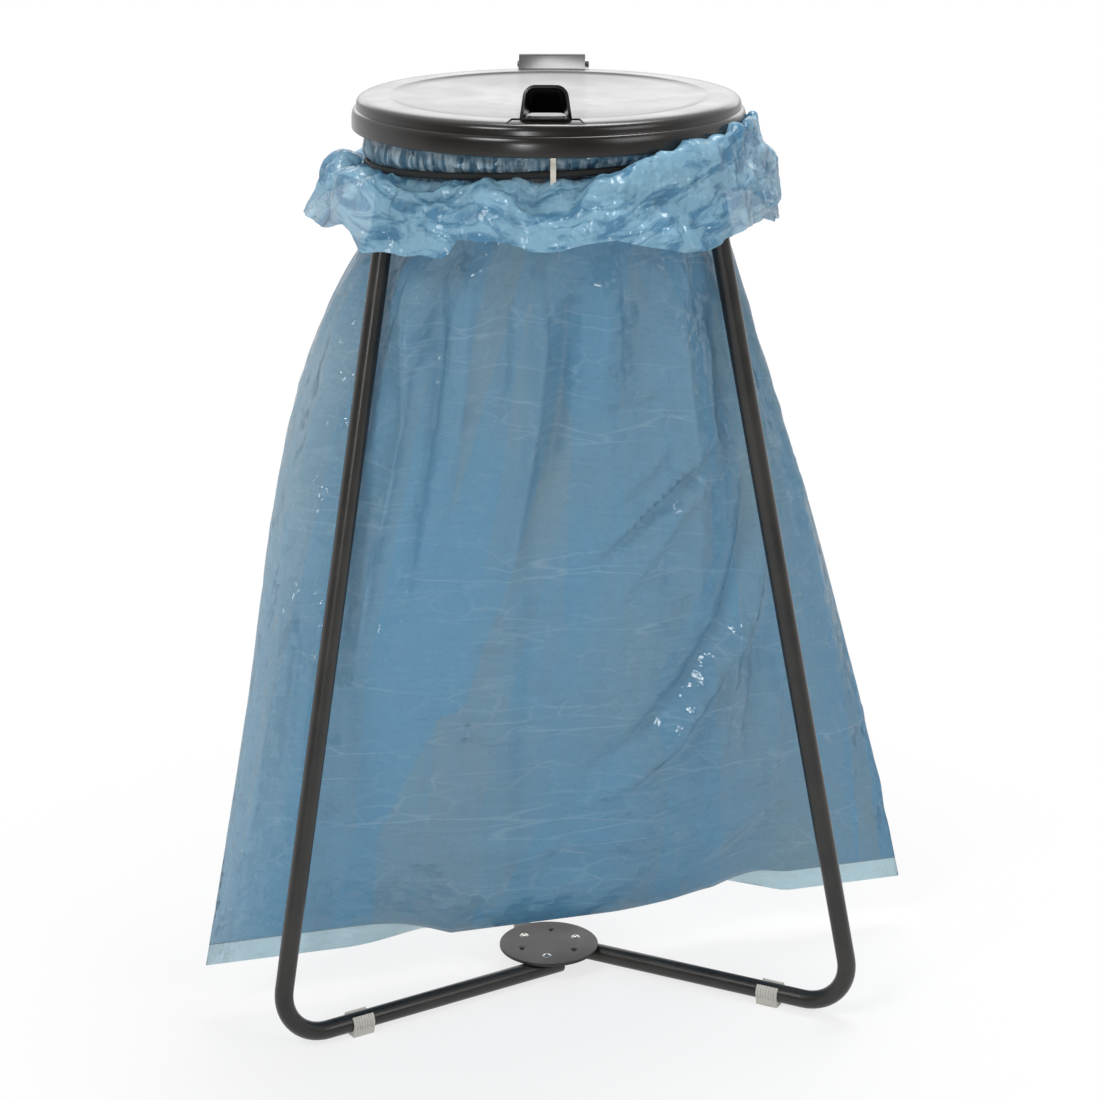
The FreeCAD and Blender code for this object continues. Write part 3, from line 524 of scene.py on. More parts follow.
def mouth_rings(around):
    """Rings of the film up inside the bag ring and over its lip."""
    lip = LIP_R + GAP + FILM_MIDDLE
    top = RING_TOP + GAP + FILM_MIDDLE
    inner = MOUTH_R - FILM_MIDDLE
    one = np.ones_like(around)
    stations = [(inner, BODY_TOP), (inner, 796.0), (inner, 855.6), (MOUTH_R + 0.4, top), (lip - 1.4, top)]
    line = np.stack([np.stack([r * one, z * one], axis=-1) for r, z in stations])
    return round_ring(along_curve(line, (3, 4, 1, 1), 99), around)


CUFF_ROWS = (1, 2, 4, 3, 2, 2, 3, 4, 5, 6, 7, 8, 9)
NECK_ROWS = 12      # rows of those down to the band's underside


def cuff_rings(around):
    """Rings of the film down outside the ring, under the band, and out over the cuff."""
    tuck = bump(around, 90.0, 38.0, 13.0)
    free = 1.0 - tuck
    hook = bump(around, -87.5, 20.0)
    outer = RING_R + GAP + FILM_MIDDLE
    lip = LIP_R + GAP + FILM_MIDDLE
    top = RING_TOP + GAP + FILM_MIDDLE
    band = band_height(around)
    start = band - BAND_D / 2 - GAP - 1.4
    # On the right the film is folded up over the band before it falls
    rolled = bump(around, -14.0, 71.0, 40.0) * free
    # It stands up fullest on the left
    puff = 13.0 * bump(around, 188.0, 46.0, 10.0) + 4.0 * bump(around, -125.0, 30.0)
    flare = (CUFF_FLARE + 4.0 * np.sin(np.radians(4 * around))) * free + (FLANGE_R - RING_R - 3.0) * tuck
    signed = (around + 180.0) % 360.0 - 180.0
    hem = np.interp(signed, [at for at, z in CUFF_HEM], [z for at, z in CUFF_HEM])
    ragged = np.radians(around)
    hem = hem + 1.2 * np.sin(23 * ragged + 3 * np.sin(3 * ragged))
    hem = hem * free + (FLANGE_TOP + GAP + 3.0) * tuck
    drop = start - hem
    crest = band + 11.0 + 16.0 * bump(around, 4.0, 62.0, 12.0)
    draw = 15.0 * hook
    plain = [
        (outer + flare * 0.10, start - 0.6), (outer + flare * 0.25, start - 2.5 * free - draw * 0.6),
        (outer + flare * 0.42, start - 0.07 * drop + puff * 0.7 - draw),
        (outer + flare * 0.60, start - 0.16 * drop + puff - draw),
        (outer + flare * 0.78, start - 0.33 * drop + puff * 0.9 - draw * 0.7),
        (outer + flare * 0.92, start - 0.60 * drop + puff * 0.4 - draw * 0.3),
        (outer + flare, hem),
    ]
    folded = [
        (174.5, start - 1.5), (177.8, band + 2.0), (183.5, crest - 4.0), (190.5, crest),
        (202.0, crest - 0.28 * (crest - hem)), (213.0, crest - 0.62 * (crest - hem)), (outer + flare, hem),
    ]
    one = np.ones_like(around)
    stations = [
        (lip - 1.4, top), (lip, top - 1.4), (lip, RING_TOP - LIP_H - 1.2), (outer + 1.6, band + 9.0),
        (outer + 0.3, band + 2.5), (outer, band), (outer, start),
    ]
    for (r0, z0), (r1, z1) in zip(plain, folded):
        stations.append((r0 + (r1 - r0) * rolled, z0 + (z1 - z0) * rolled))
    line = np.stack([np.stack([r * one, z * one], axis=-1) for r, z in stations])
    return round_ring(along_curve(line, CUFF_ROWS, 7), around), rolled


def bag_surface(width, crease):
    """Rings of the bag's body with few columns and of its cuff with twice as many."""
    fine = film_columns(2 * BAG_COLUMNS)
    coarse = fine[::2]
    body = body_rings(coarse, width)
    mouth = mouth_rings(coarse)
    cuff, rolled = cuff_rings(fine)
    lower = np.concatenate([body[:-1], mouth])
    across, down = sheet_coordinates(lower, coarse)
    normal = grid_normals(lower)
    seen = seen_from_front(lower)
    z = lower[..., 2]
    row = np.arange(len(lower))[:, None]
    gate = (row < len(body) - 1) * smooth(HEM_Z + HEM_H, 150.0, z) * smooth(BODY_TOP, 740.0, z)
    facing = np.abs(normal[..., 1])
    front = smooth(0.1, 0.5, -normal[..., 1])
    loose = 0.35 + 0.65 * smooth(200.0, 640.0, z)
    calm = 0.3 + 0.7 * smooth(0.15, 0.6, facing)
    lift = (fold_field(seen, BODY_FOLDS) * FOLD_GAIN + fold_field(seen, BODY_CRUMPLES) * CRUMPLE_GAIN) * front
    parts = {name: lifted(across, down, size) for name, size in BODY_FACETS.items()}
    lift = lift + parts["gathers"] * loose * smooth(330.0, 640.0, z)
    lift = lift + parts["panels"] * loose
    patch = smooth(0.0, 0.5, field(across, down, 130.0, 150.0, 2.0) + 0.1)
    lift = lift + parts["wrinkles"] * patch
    lift = lift + parts["crackle"] * (0.4 + 0.6 * patch)
    lower = lower + normal * (lift * crease * calm * gate)[..., None]
    lower = fold_hem(lower)

    cuff_across, cuff_down = sheet_coordinates(cuff, fine)
    normal = grid_normals(cuff)
    row = np.arange(len(cuff))[:, None]
    share = np.clip((row - NECK_ROWS) / (len(cuff) - 1 - NECK_ROWS), 0.0, 1.0)
    below = share * np.ones_like(cuff_down)
    free = 1.0 - bump(fine, 90.0, 44.0, 16.0)[None, :]
    plain = 1.0 - rolled[None, :]
    # Gathers run out from under the band, and the sheet breaks into facets towards its hem
    parts = {name: lifted(cuff_across, cuff_down, size) for name, size in CUFF_FACETS.items()}
    from_hook = (cuff_across - DRUM / 2 - 8.0) / 150.0
    fan = cuff_down / (0.35 + 0.9 * np.clip(from_hook, 0.0, 1.3))
    rolls = lifted(cuff_across, fan, ROLL_FACETS)
    lift = (parts["gathers"] * smooth(0.0, 0.06, below) * smooth(0.5, 0.12, below) * (0.35 + 0.65 * plain)
            + parts["pleats"] * smooth(0.03, 0.2, below) * (0.5 + 0.5 * plain) * smooth(1.3, 0.6, below)
            + (parts["broad"] * plain + parts["small"] + parts["fine"]) * smooth(0.12, 0.5, below)
            + rolls * rolled[None, :] * smooth(0.2, 0.36, below) * smooth(1.2, 0.8, below))
    # A ruffle of fine gathers stands between the lip and the band
    neck = np.clip((row - 3) / (NECK_ROWS - 5), 0.0, 1.0)
    ruffle = (1.0 - np.abs(facets(cuff_across, cuff_down, 9.0, 60.0, 33)) * 1.6) * RUFFLE_H
    ruffle = np.clip(ruffle, 0.0, RUFFLE_H) * np.sin(np.pi * neck) ** 0.8
    ruffle = ruffle + (facets(cuff_across, cuff_down, 15.0, 9.0, 35) + 1.0) * 0.9 * np.sin(np.pi * neck)
    lift = lift * free - ruffle * (0.3 + 0.7 * free)
    cuff = cuff + normal * (lift * crease)[..., None]
    return lower, cuff, (across, down), (cuff_across, cuff_down + down[-1].mean())


def fold_hem(rows):
    """The hem's strip curls back under the film in the middle, where the film hangs fullest."""
    turn = math.radians(BAG_TURN)
    across = rows[..., 0] * math.cos(turn) + rows[..., 1] * math.sin(turn)
    curl = smooth(-215.0, -45.0, across) * smooth(262.0, 128.0, across)
    hem_top = HEM_Z + HEM_H
    z = rows[..., 2]
    below = np.clip(hem_top - z, 0.0, HEM_H)
    angle = np.radians(125.0) * curl
    seen = np.maximum(np.cos(angle), 0.0)
    dip = HEM_H * (1.0 - seen) * smooth(240.0, hem_top, z) * (0.95 - 0.35 * smooth(60.0, 170.0, across))
    rise = 6.5 * smooth(262.0, 215.0, across) * smooth(120.0, 190.0, across) * smooth(240.0, hem_top, z)
    back = below * np.sin(angle)
    bent = rows.copy()
    bent[..., 0] -= back * math.sin(turn)
    bent[..., 1] += back * math.cos(turn)
    bent[..., 2] = np.where(z < hem_top, hem_top - below * np.cos(angle), z) - dip + rise
    return bent


def ring_faces(rows, around, first):
    """Faces between closed rings of points, numbered from the first."""
    return [(first + i * around + j, first + i * around + (j + 1) % around,
             first + (i + 1) * around + (j + 1) % around, first + (i + 1) * around + j)
            for i in range(rows - 1) for j in range(around)]


def film_object(name, lower, cuff, lower_sheet, cuff_sheet):
    """One sheet from both grids, with the sheet's own coordinates as its UV map."""
    rows, around = lower.shape[:2]
    fine_rows, fine_around = cuff.shape[:2]
    offset = rows * around
    faces = ring_faces(rows, around, 0)
    top = (rows - 1) * around
    for j in range(around):
        k = (j + 1) % around
        left, middle = offset + 2 * j, offset + 2 * j + 1
        right = offset + (2 * j + 2) % fine_around
        faces += [(top + j, top + k, middle), (top + j, middle, left), (top + k, right, middle)]
    faces += ring_faces(fine_rows, fine_around, offset)
    points = np.concatenate([lower.reshape(-1, 3), cuff.reshape(-1, 3)]) * MM
    mesh = bpy.data.meshes.new(name)
    mesh.from_pydata(points.tolist(), [], faces)
    mesh.update()
    u = np.concatenate([lower_sheet[0].ravel(), cuff_sheet[0].ravel()])
    v = np.concatenate([lower_sheet[1].ravel(), cuff_sheet[1].ravel()])
    corner = np.empty(len(mesh.loops), dtype=np.int32)
    mesh.loops.foreach_get("vertex_index", corner)
    totals = np.empty(len(mesh.polygons), dtype=np.int32)
    mesh.polygons.foreach_get("loop_total", totals)
    face_of = np.repeat(np.arange(len(totals)), totals)
    loop_u, loop_v = u[corner], v[corner]
    widest = np.full(len(totals), -1e9)
    np.maximum.at(widest, face_of, loop_u)
    loop_u = np.where(widest[face_of] - loop_u > DRUM / 2, loop_u + DRUM, loop_u)
    sheet = mesh.uv_layers.new(name="sheet")
    sheet.data.foreach_set("uv", np.stack([loop_u, loop_v], axis=-1).ravel() * MM)
    obj = bpy.data.objects.new(name, mesh)
    bpy.context.scene.collection.objects.link(obj)
    return obj


def pushed(tree, pattern, scale, detail, push):
    """A pattern moved out of line by noise."""
    spread = add_node(tree, "TexNoise", {"Vector": pattern, "Scale": scale, "Detail": detail})
    return add_node(tree, "VectorMath", {0: spread.outputs["Color"], 1: (push, push, 0.0), 2: pattern},
                    operation="MULTIPLY_ADD")


def film_colour(tree, look, place):
    """Colour of the film by layers, cuff, hem, pleats and weld, with painted light: a painted paler left
    side, painted highlights along creases, painted shade and highlight on the pleats, and a cuff painted
    paler.
    """
    # Pale colour of the painted light and painted highlights
    painted_light_pale = linear("C9DFEA")
    # Shares that change down the sheet, each with its start and end
    down = {name: add_node(tree, "MapRange", {"Value": place.outputs["Y"], "From Min": low, "From Max": high,
                                              "To Min": start, "To Max": end})
            for name, low, high, start, end in (
                ("hem", HEM_WELD - 0.0007, HEM_WELD + 0.0013, 1.0, 0.0), ("body", 0.70, 0.62, 0.0, 1.0),
                ("cuff", 0.80, 0.88, 0.0, 1.0), ("ruffle starts", 0.846, 0.850, 0.0, 0.8),
                ("ruffle ends", 0.880, 0.868, 0.0, 1.0))}
    # Layers that lie double are deeper in colour, with the straight edges of their folds
    cells = add_node(tree, "TexVoronoi", {"Vector": sheet_pattern(tree, 34.0, 330.0), "Scale": 1.0},
                     voronoi_dimensions="2D")
    layer = add_node(tree, "SeparateColor", {0: cells.outputs["Color"]})
    tone = add_node(tree, "TexNoise", {"Vector": sheet_pattern(tree, 120.0, 500.0), "Scale": 1.0,
                                       "Detail": 5.0, "Roughness": 0.6, "Distortion": 0.5})
    both = add_node(tree, "Math", {0: layer, 1: 0.3, 2: tone.outputs["Fac"]}, operation="MULTIPLY_ADD")
    deep = add_node(tree, "MapRange", {"Value": both, "From Min": 0.42, "From Max": 0.78})
    # The cuff is crushed into deeper patches
    crushed = add_node(tree, "TexNoise", {"Vector": sheet_pattern(tree, 46.0, 20.0), "Scale": 1.0,
                                          "Detail": 4.0, "Roughness": 0.65, "Distortion": 1.2})
    crushed = add_node(tree, "MapRange", {"Value": crushed.outputs["Fac"], "From Min": 0.46,
                                          "From Max": 0.58})
    # Painted light: the cuff's own colour is painted paler than the body's, for the light the turned-out film
    # catches on top
    cuff = add_node(tree, "Mix", {0: crushed, 6: tuple(look.cuff), 7: linear("5F97BA")}, data_type="RGBA")
    # Painted light: the bag's left side, a quarter of the way round, is painted paler than its front, for the
    # light that comes through the film there
    off_side = add_node(tree, "Math", {0: place.outputs["X"], 1: 0.28}, operation="SUBTRACT")
    off_side = add_node(tree, "Math", {0: off_side}, operation="ABSOLUTE")
    painted_side_light = add_node(tree, "MapRange", {"Value": off_side, "From Min": 0.06, "From Max": 0.19,
                                         "To Min": 0.6, "To Max": 0.0})
    painted_side_light = add_node(tree, "Math", {0: painted_side_light, 1: down["body"]}, operation="MULTIPLY")
    layers = [(deep, tuple(look.doubled)), (down["cuff"], cuff.outputs[2]),
              (down["hem"], tuple(look.hem)), (painted_side_light, painted_light_pale)]
    # Painted highlights: thin pale lines along the edges of the crease facets, in patches, where creases
    # would flash
    for wide, long, strength in ((26.0, 20.0, 0.12), (75.0, 13.0, 0.18)):
        cell = sheet_pattern(tree, wide, long)
        edge = add_node(tree, "TexVoronoi", {"Vector": pushed(tree, cell, 0.8, 3.0, 1.1), "Scale": 1.0},
                        voronoi_dimensions="2D", feature="DISTANCE_TO_EDGE")
        thin = add_node(tree, "MapRange", {"Value": edge.outputs["Distance"], "From Min": 0.0,
                                           "From Max": 0.09, "To Min": strength, "To Max": 0.0})
        painted_highlight_patches = add_node(tree, "TexNoise", {"Vector": cell, "Scale": 0.4, "Detail": 2.0})
        painted_highlight_patches = add_node(tree, "MapRange", {"Value": painted_highlight_patches.outputs["Fac"], "From Min": 0.50,
                                             "From Max": 0.66})
        layers.append((add_node(tree, "Math", {0: thin, 1: painted_highlight_patches}, operation="MULTIPLY"), painted_light_pale))
    # Between the lip and the band the film is drawn up in upright pleats, painted dark and bright in turn:
    # painted shade and painted highlight on their sides
    pleats = add_node(tree, "TexNoise", {"Vector": sheet_pattern(tree, 6.5, 40.0), "Scale": 1.0,
                                         "Detail": 3.0, "Distortion": 0.7})
    pleats = add_node(tree, "MapRange", {"Value": pleats.outputs["Fac"], "From Min": 0.40,
                                         "From Max": 0.62})
    tones = add_node(tree, "Mix", {0: pleats, 6: linear("3F6D89"), 7: painted_light_pale}, data_type="RGBA")
    ruffled = add_node(tree, "Math", {0: down["ruffle starts"], 1: down["ruffle ends"]},
                       operation="MULTIPLY")
    weld = add_node(tree, "Math", {0: place.outputs["Y"], 1: HEM_WELD, 2: 0.0007}, operation="COMPARE")
    weld = add_node(tree, "Math", {0: weld, 1: 0.55}, operation="MULTIPLY")
    layers += [(ruffled, tones.outputs[2]), (weld, linear("3F6478"))]
    colour = tuple(look.single)
    for share, over in layers:
        colour = add_node(tree, "Mix", {0: share, 6: colour, 7: over}, data_type="RGBA").outputs[2]
    return colour


def film_material(look):
    """Blown polythene film: thin, even blue, soft gloss, and light passes through it.
    Handling leaves small flat facets in it, which flash where they face a lamp."""
    material, tree, shader = new_material("blown_polythene_film")
    shader.inputs["Roughness"].default_value = 0.10
    shader.inputs["IOR"].default_value = 1.51
    shader.inputs["Alpha"].default_value = 0.84
    place = add_node(tree, "SeparateXYZ", {"Vector": add_node(tree, "UVMap", uv_map="sheet")})
    colour = film_colour(tree, look, place)
    tree.links.new(colour, shader.inputs["Base Color"])
    # Facets of four sizes, flatter on the body than on the handled cuff
    handled = add_node(tree, "MapRange", {"Value": place.outputs["Y"], "From Min": 0.70, "From Max": 0.86,
                                          "To Min": 0.5, "To Max": 1.0})
    under = {}
    for wide, long, depth in ((24.0, 120.0, 9.0), (34.0, 9.0, 3.2), (12.0, 16.0, 7.0), (5.0, 7.0, 2.4)):
        moved = pushed(tree, sheet_pattern(tree, wide, long), 0.7, 2.0, 0.8)
        cells = add_node(tree, "TexVoronoi", {"Vector": moved, "Scale": 1.0}, voronoi_dimensions="2D")
        away = add_node(tree, "VectorMath", {0: moved, 1: cells.outputs["Position"]}, operation="SUBTRACT")
        tilt = add_node(tree, "VectorMath", {0: cells.outputs["Color"], 1: (0.5, 0.5, 0.5)},
                        operation="SUBTRACT")
        slope = add_node(tree, "VectorMath", {0: away, 1: tilt}, operation="DOT_PRODUCT")
        height = add_node(tree, "Math", {0: slope.outputs["Value"], 1: handled}, operation="MULTIPLY")
        relief = add_node(tree, "Bump", {"Height": height, "Strength": 0.9, "Distance": depth * MM, **under})
        under = {"Normal": relief}
    tree.links.new(relief.outputs[0], shader.inputs["Normal"])
    light = add_node(tree, "BsdfTranslucent", {"Color": colour, "Normal": relief})
    output(tree, add_node(tree, "MixShader", {0: 0.3, 1: shader, 2: light}))
    return material


def grain(tree, shader, grain_mm, depth_mm, roughness, spread=0.12, edge_mm=0.0):
    """Uneven shine and fine relief on object coordinates, with edges worn round to edge_mm."""
    fine, broad = (add_node(tree, "TexNoise", {"Vector": object_pattern(tree, size), "Scale": 1.0,
                                               "Detail": detail}).outputs["Fac"]
                   for size, detail in ((grain_mm, 3.0), (45.0, 2.0)))
    rough = add_node(tree, "MapRange", {"Value": broad, "From Min": 0.3, "From Max": 0.7,
                                        "To Min": roughness * (1 - spread),
                                        "To Max": roughness * (1 + spread)})
    tree.links.new(rough.outputs[0], shader.inputs["Roughness"])
    links = {"Height": fine, "Strength": 0.5, "Distance": depth_mm * MM}
    if edge_mm:
        links["Normal"] = add_node(tree, "Bevel", {"Radius": edge_mm * MM}, samples=6)
    relief = add_node(tree, "Bump", links)
    tree.links.new(relief.outputs[0], shader.inputs["Normal"])
    return fine, broad, relief


def two_tone(tree, shader, factor, low, high, first, second):
    """Base colour that drifts between two close tones."""
    share = add_node(tree, "MapRange", {"Value": factor, "From Min": low, "From Max": high})
    colour = add_node(tree, "Mix", {0: share, 6: first, 7: second}, data_type="RGBA").outputs[2]
    tree.links.new(colour, shader.inputs["Base Color"])
    return colour


def powder_coat_material(look, name, roughness):
    """Black powder coat on steel tube: sprayed and baked, so a fine orange peel breaks its shine."""
    material, tree, shader = new_material(name)
    broad = grain(tree, shader, 1.1, 0.035, roughness, 0.15, 0.4)[1]
    two_tone(tree, shader, broad, 0.35, 0.65, tuple(look.coat), linear("282623"))
    return material


def moulded_black_material(look):
    """Injection-moulded ABS from a polished tool: nearly black brown, glossy, faint flow marks."""
    material, tree, shader = new_material("moulded_black_abs")
    shader.inputs["IOR"].default_value = 1.53
    broad, relief = grain(tree, shader, 0.9, 0.006, 0.24, 0.12)[1:]
    two_tone(tree, shader, broad, 0.3, 0.7, tuple(look.colour), linear("191512"))
    # The line where the halves of the tool met runs down the rim left of the middle
    place = add_node(tree, "SeparateXYZ", {"Vector": add_node(tree, "TexCoord").outputs["Object"]})
    line = add_node(tree, "Math", {0: place.outputs["X"], 1: -0.0462, 2: 0.00025}, operation="COMPARE")
    front = add_node(tree, "Math", {0: place.outputs["Y"], 1: -0.168}, operation="LESS_THAN")
    seam = add_node(tree, "Math", {0: line, 1: front}, operation="MULTIPLY")
    raised = add_node(tree, "Bump", {"Height": seam, "Strength": 0.6, "Distance": 0.00015,
                                     "Normal": relief})
    tree.links.new(raised.outputs[0], shader.inputs["Normal"])
    return material


def metal_material(name, colour, roughness, grain_mm, depth_mm, edge_mm):
    """Bright plated or bare metal: a drawn or pressed surface whose fine grain softens the glare."""
    material, tree, shader = new_material(name)
    shader.inputs["Metallic"].default_value = 1.0
    fine = grain(tree, shader, grain_mm, depth_mm, roughness, 0.2, edge_mm)[0]
    darker = tuple(c * 0.8 for c in colour[:3]) + (1.0,)
    two_tone(tree, shader, fine, 0.3, 0.7, colour, darker)
    return material


def glide_material(look):
    """Moulded soft polythene: milky, light sinks in and glows back, faint moulding grain."""
    material, tree, shader = new_material("milky_moulded_polythene")
    shader.inputs["IOR"].default_value = 1.51
    broad, relief = grain(tree, shader, 0.7, 0.01, 0.36, 0.1, 0.4)[1:]
    colour = two_tone(tree, shader, broad, 0.3, 0.7, tuple(look.glide), linear("CFCCC4"))
    light = add_node(tree, "BsdfTranslucent", {"Color": colour, "Normal": relief})
    output(tree, add_node(tree, "MixShader", {0: 0.35, 1: shader, 2: light}))
    return material


def elastic_material(look):
    """Braided cover over rubber: matt black, slanted threads about 2 mm apart so that they show."""
    material, tree, shader = new_material("braided_elastic_cover")
    shader.inputs["Roughness"].default_value = 0.62
    place = add_node(tree, "SeparateXYZ", {"Vector": add_node(tree, "TexCoord").outputs["Object"]})
    turn = add_node(tree, "Math", {0: place.outputs["Y"], 1: place.outputs["X"]}, operation="ARCTAN2")
    # At 170 mm radius 530 threads lie 2 mm apart, and both ways of the braid slant with the height
    threads = {}
    for way, slant in enumerate((3100.0, -3100.0)):
        rise = add_node(tree, "Math", {0: place.outputs["Z"], 1: slant}, operation="MULTIPLY")
        phase = add_node(tree, "Math", {0: turn, 1: 530.0, 2: rise}, operation="MULTIPLY_ADD")
        threads[way] = add_node(tree, "Math", {0: phase}, operation="SINE")
    weave = add_node(tree, "Math", threads, operation="MAXIMUM")
    two_tone(tree, shader, weave, -0.6, 1.0, linear("0B0B0B"), tuple(look.band))
    raised = add_node(tree, "Bump", {"Height": weave, "Strength": 0.7, "Distance": 0.0003})
    tree.links.new(raised.outputs[0], shader.inputs["Normal"])
    return material


def background_rays(tree):
    """Rays that reach the background from the eye, also through the object, and off gloss."""
    ray = add_node(tree, "LightPath")
    eye = add_node(tree, "Math", {0: ray.outputs["Is Camera Ray"], 1: ray.outputs["Is Transmission Ray"]},
                   operation="MAXIMUM")
    return eye, ray.outputs["Is Glossy Ray"]


def sweep_material(look):
    """Seamless paper: matt white by the object, and plain white to the eye further off."""
    material, tree, shader = new_material("white_sweep_paper")
    shader.inputs["Base Color"].default_value = tuple(look.floor)
    shader.inputs["Roughness"].default_value = 0.85
    where = add_node(tree, "TexCoord").outputs["Object"]
    far = add_node(tree, "VectorMath", {0: where, 1: (0.0, 0.0, 0.0)}, operation="DISTANCE")
    fade = add_node(tree, "MapRange", {"Value": far.outputs["Value"], "From Min": 0.3, "From Max": 0.8,
                                       "To Min": 0.72}, interpolation_type="SMOOTHSTEP")
    eye, gloss = background_rays(tree)
    # Gloss sees the paper's end in front of the object, where the room is dimmer
    place = add_node(tree, "SeparateXYZ", {"Vector": where})
    side = add_node(tree, "MapRange", {"Value": place.outputs["Y"], "From Min": -2.0, "From Max": -0.8,
                                       "To Min": 0.2, "To Max": 1.0})
    dimmed = add_node(tree, "Math", {0: gloss, 1: side}, operation="MULTIPLY")
    seen = add_node(tree, "Math", {0: eye, 1: dimmed}, operation="MAXIMUM")
    share = add_node(tree, "Math", {0: seen, 1: fade}, operation="MULTIPLY")
    white = add_node(tree, "Emission", {"Color": linear(WHITE), "Strength": 1.0})
    output(tree, add_node(tree, "MixShader", {0: share, 1: shader, 2: white}))
    return material


# What a user may change

LENGTH = {"subtype": "DISTANCE", "unit": "LENGTH"}
COLOUR = {"size": 4, "min": 0.0, "max": 1.0, "subtype": "COLOR"}
POWER = {"min": 0.0, "max": 200.0, "subtype": "POWER"}


class BBH_PG_film(bpy.types.PropertyGroup):
    width: FloatProperty(name="Width laid flat", description="Width of the bag laid flat at its bottom hem",
                         default=0.737, min=0.6, max=0.9, **LENGTH)
    crease: FloatProperty(name="Creases", description="Multiplies the height of the film's folds and creases",
                          default=1.0, min=0.0, max=1.5, subtype="FACTOR")
    single: FloatVectorProperty(name="Single layer", description="Colour of one layer of film",
                                default=linear("7F9FAF"), **COLOUR)
    doubled: FloatVectorProperty(name="Double layer", description="Colour where folds lie double",
                                 default=linear("6AA0C0"), **COLOUR)
    # Painted light: the cuff's colour is set paler than the body's, for the light it catches on top
    cuff: FloatVectorProperty(name="Cuff", description="Colour of the cuff outside the ring",
                              default=linear("9BCAE2"), **COLOUR)
    hem: FloatVectorProperty(name="Hem", description="Colour of the strip below the bottom weld",
                             default=linear("C6DEE6"), **COLOUR)


class BBH_PG_lid(bpy.types.PropertyGroup):
    dish: FloatProperty(name="Dish depth", description="How far the top sinks towards its middle",
                        default=0.0065, min=0.0, max=0.009, **LENGTH)
    wall: FloatProperty(name="Wall", description="Thickness of the moulding", default=0.0024, min=0.0015,
                        max=0.003, **LENGTH)
    colour: FloatVectorProperty(name="Plastic", description="Colour of the black plastic",
                                default=linear("110E0C"), **COLOUR)


class BBH_PG_frame(bpy.types.PropertyGroup):
    coat: FloatVectorProperty(name="Powder coat", description="Colour of the tubes and hub plate",
                              default=linear("1B1A19"), **COLOUR)
    metal: FloatVectorProperty(name="Bright metal", description="Colour of rivets, screws and pin",
                               default=linear("C6C4BE"), **COLOUR)
    glide: FloatVectorProperty(name="Glides", description="Colour of the milky foot glides",
                               default=linear("E0DED8"), **COLOUR)
    band: FloatVectorProperty(name="Elastic band", description="Colour of the band's braided cover",
                              default=linear("121212"), **COLOUR)


class BBH_PG_stage(bpy.types.PropertyGroup):
    lens: FloatProperty(name="Lens", description="Focal length of the camera", default=CAMERA_LENS, min=20.0,
                        max=200.0, unit="CAMERA")
    key: FloatProperty(name="Key light", description="Power of the key light", default=38.0, **POWER)
    fill: FloatProperty(name="Fill light", description="Power of the fill light", default=20.0, **POWER)
    top: FloatProperty(name="Top light", description="Power of the small soft light overhead", default=26.0,
                       **POWER)
    front: FloatProperty(name="Front light", description="Power of the narrow lamp that the creases flash in",
                         default=12.0, **POWER)
    wall: FloatProperty(name="Wall light", description="Power of the wide panel behind the object",
                        default=20.0, **POWER)
    floor: FloatVectorProperty(name="Floor", description="Colour of the floor", default=linear("F4F4F4"),
                               **COLOUR)


# The pieces

class BBH_OT_film_bag(bpy.types.Operator):
    """Build the film bag: folded body, welded hem, ruffle and cuff"""
    bl_idname = "bbh.film_bag"
    bl_label = "Film bag"

    def execute(self, context):
        look = context.scene.bbh_film
        deselect()
        lower, cuff, lower_sheet, cuff_sheet = bag_surface(look.width / MM, look.crease)
        obj = film_object("film_bag", lower, cuff, lower_sheet, cuff_sheet)
        context.view_layer.objects.active = obj
        obj.select_set(True)
        mode("EDIT")
        # The weld closes the bag's lowest edge
        lowest = set(range(BAG_COLUMNS))
        pick(obj, "VERT", lambda vertex, place, way: vertex.index in lowest)
        bpy.ops.mesh.edge_face_add()
        mode("OBJECT")
        bpy.ops.object.shade_smooth_by_angle(angle=math.radians(FILM_SMOOTH_ANGLE))
        finish_piece(obj, "film_bag", "stand", film_material(look), ["bin_bag"])
        return {"FINISHED"}


# Outer line of the lid from its lower rim up over the ledge and top to the crease: radius, height
LID_LINE = (
    (182.0, 858.0), (182.45, 858.4), (182.6, 859.2), (182.6, 864.0), (182.55, 868.0), (182.2, 871.0),
    (181.6, 873.2), (180.7, 874.9), (179.6, 875.8), (178.7, 876.1), (178.25, 876.35), (178.1, 877.0),
    (178.1, 879.6), (177.8, 881.6), (177.1, 883.3), (175.9, 884.6), (174.2, 885.6), (171.6, 886.4),
    (168.0, 886.9), (162.0, 887.15), (154.0, 887.2), (149.0, 887.1), (147.2, 886.8), (145.6, 886.2),
)
DISH_POINTS = (0.93, 0.84, 0.74, 0.62, 0.5, 0.38, 0.25, 0.12, 0.04)
CREASE_R = 146.0
GRIP_SHARES = (0.0, 0.12, 0.25, 0.4, 0.55, 0.7, 0.85, 1.0)


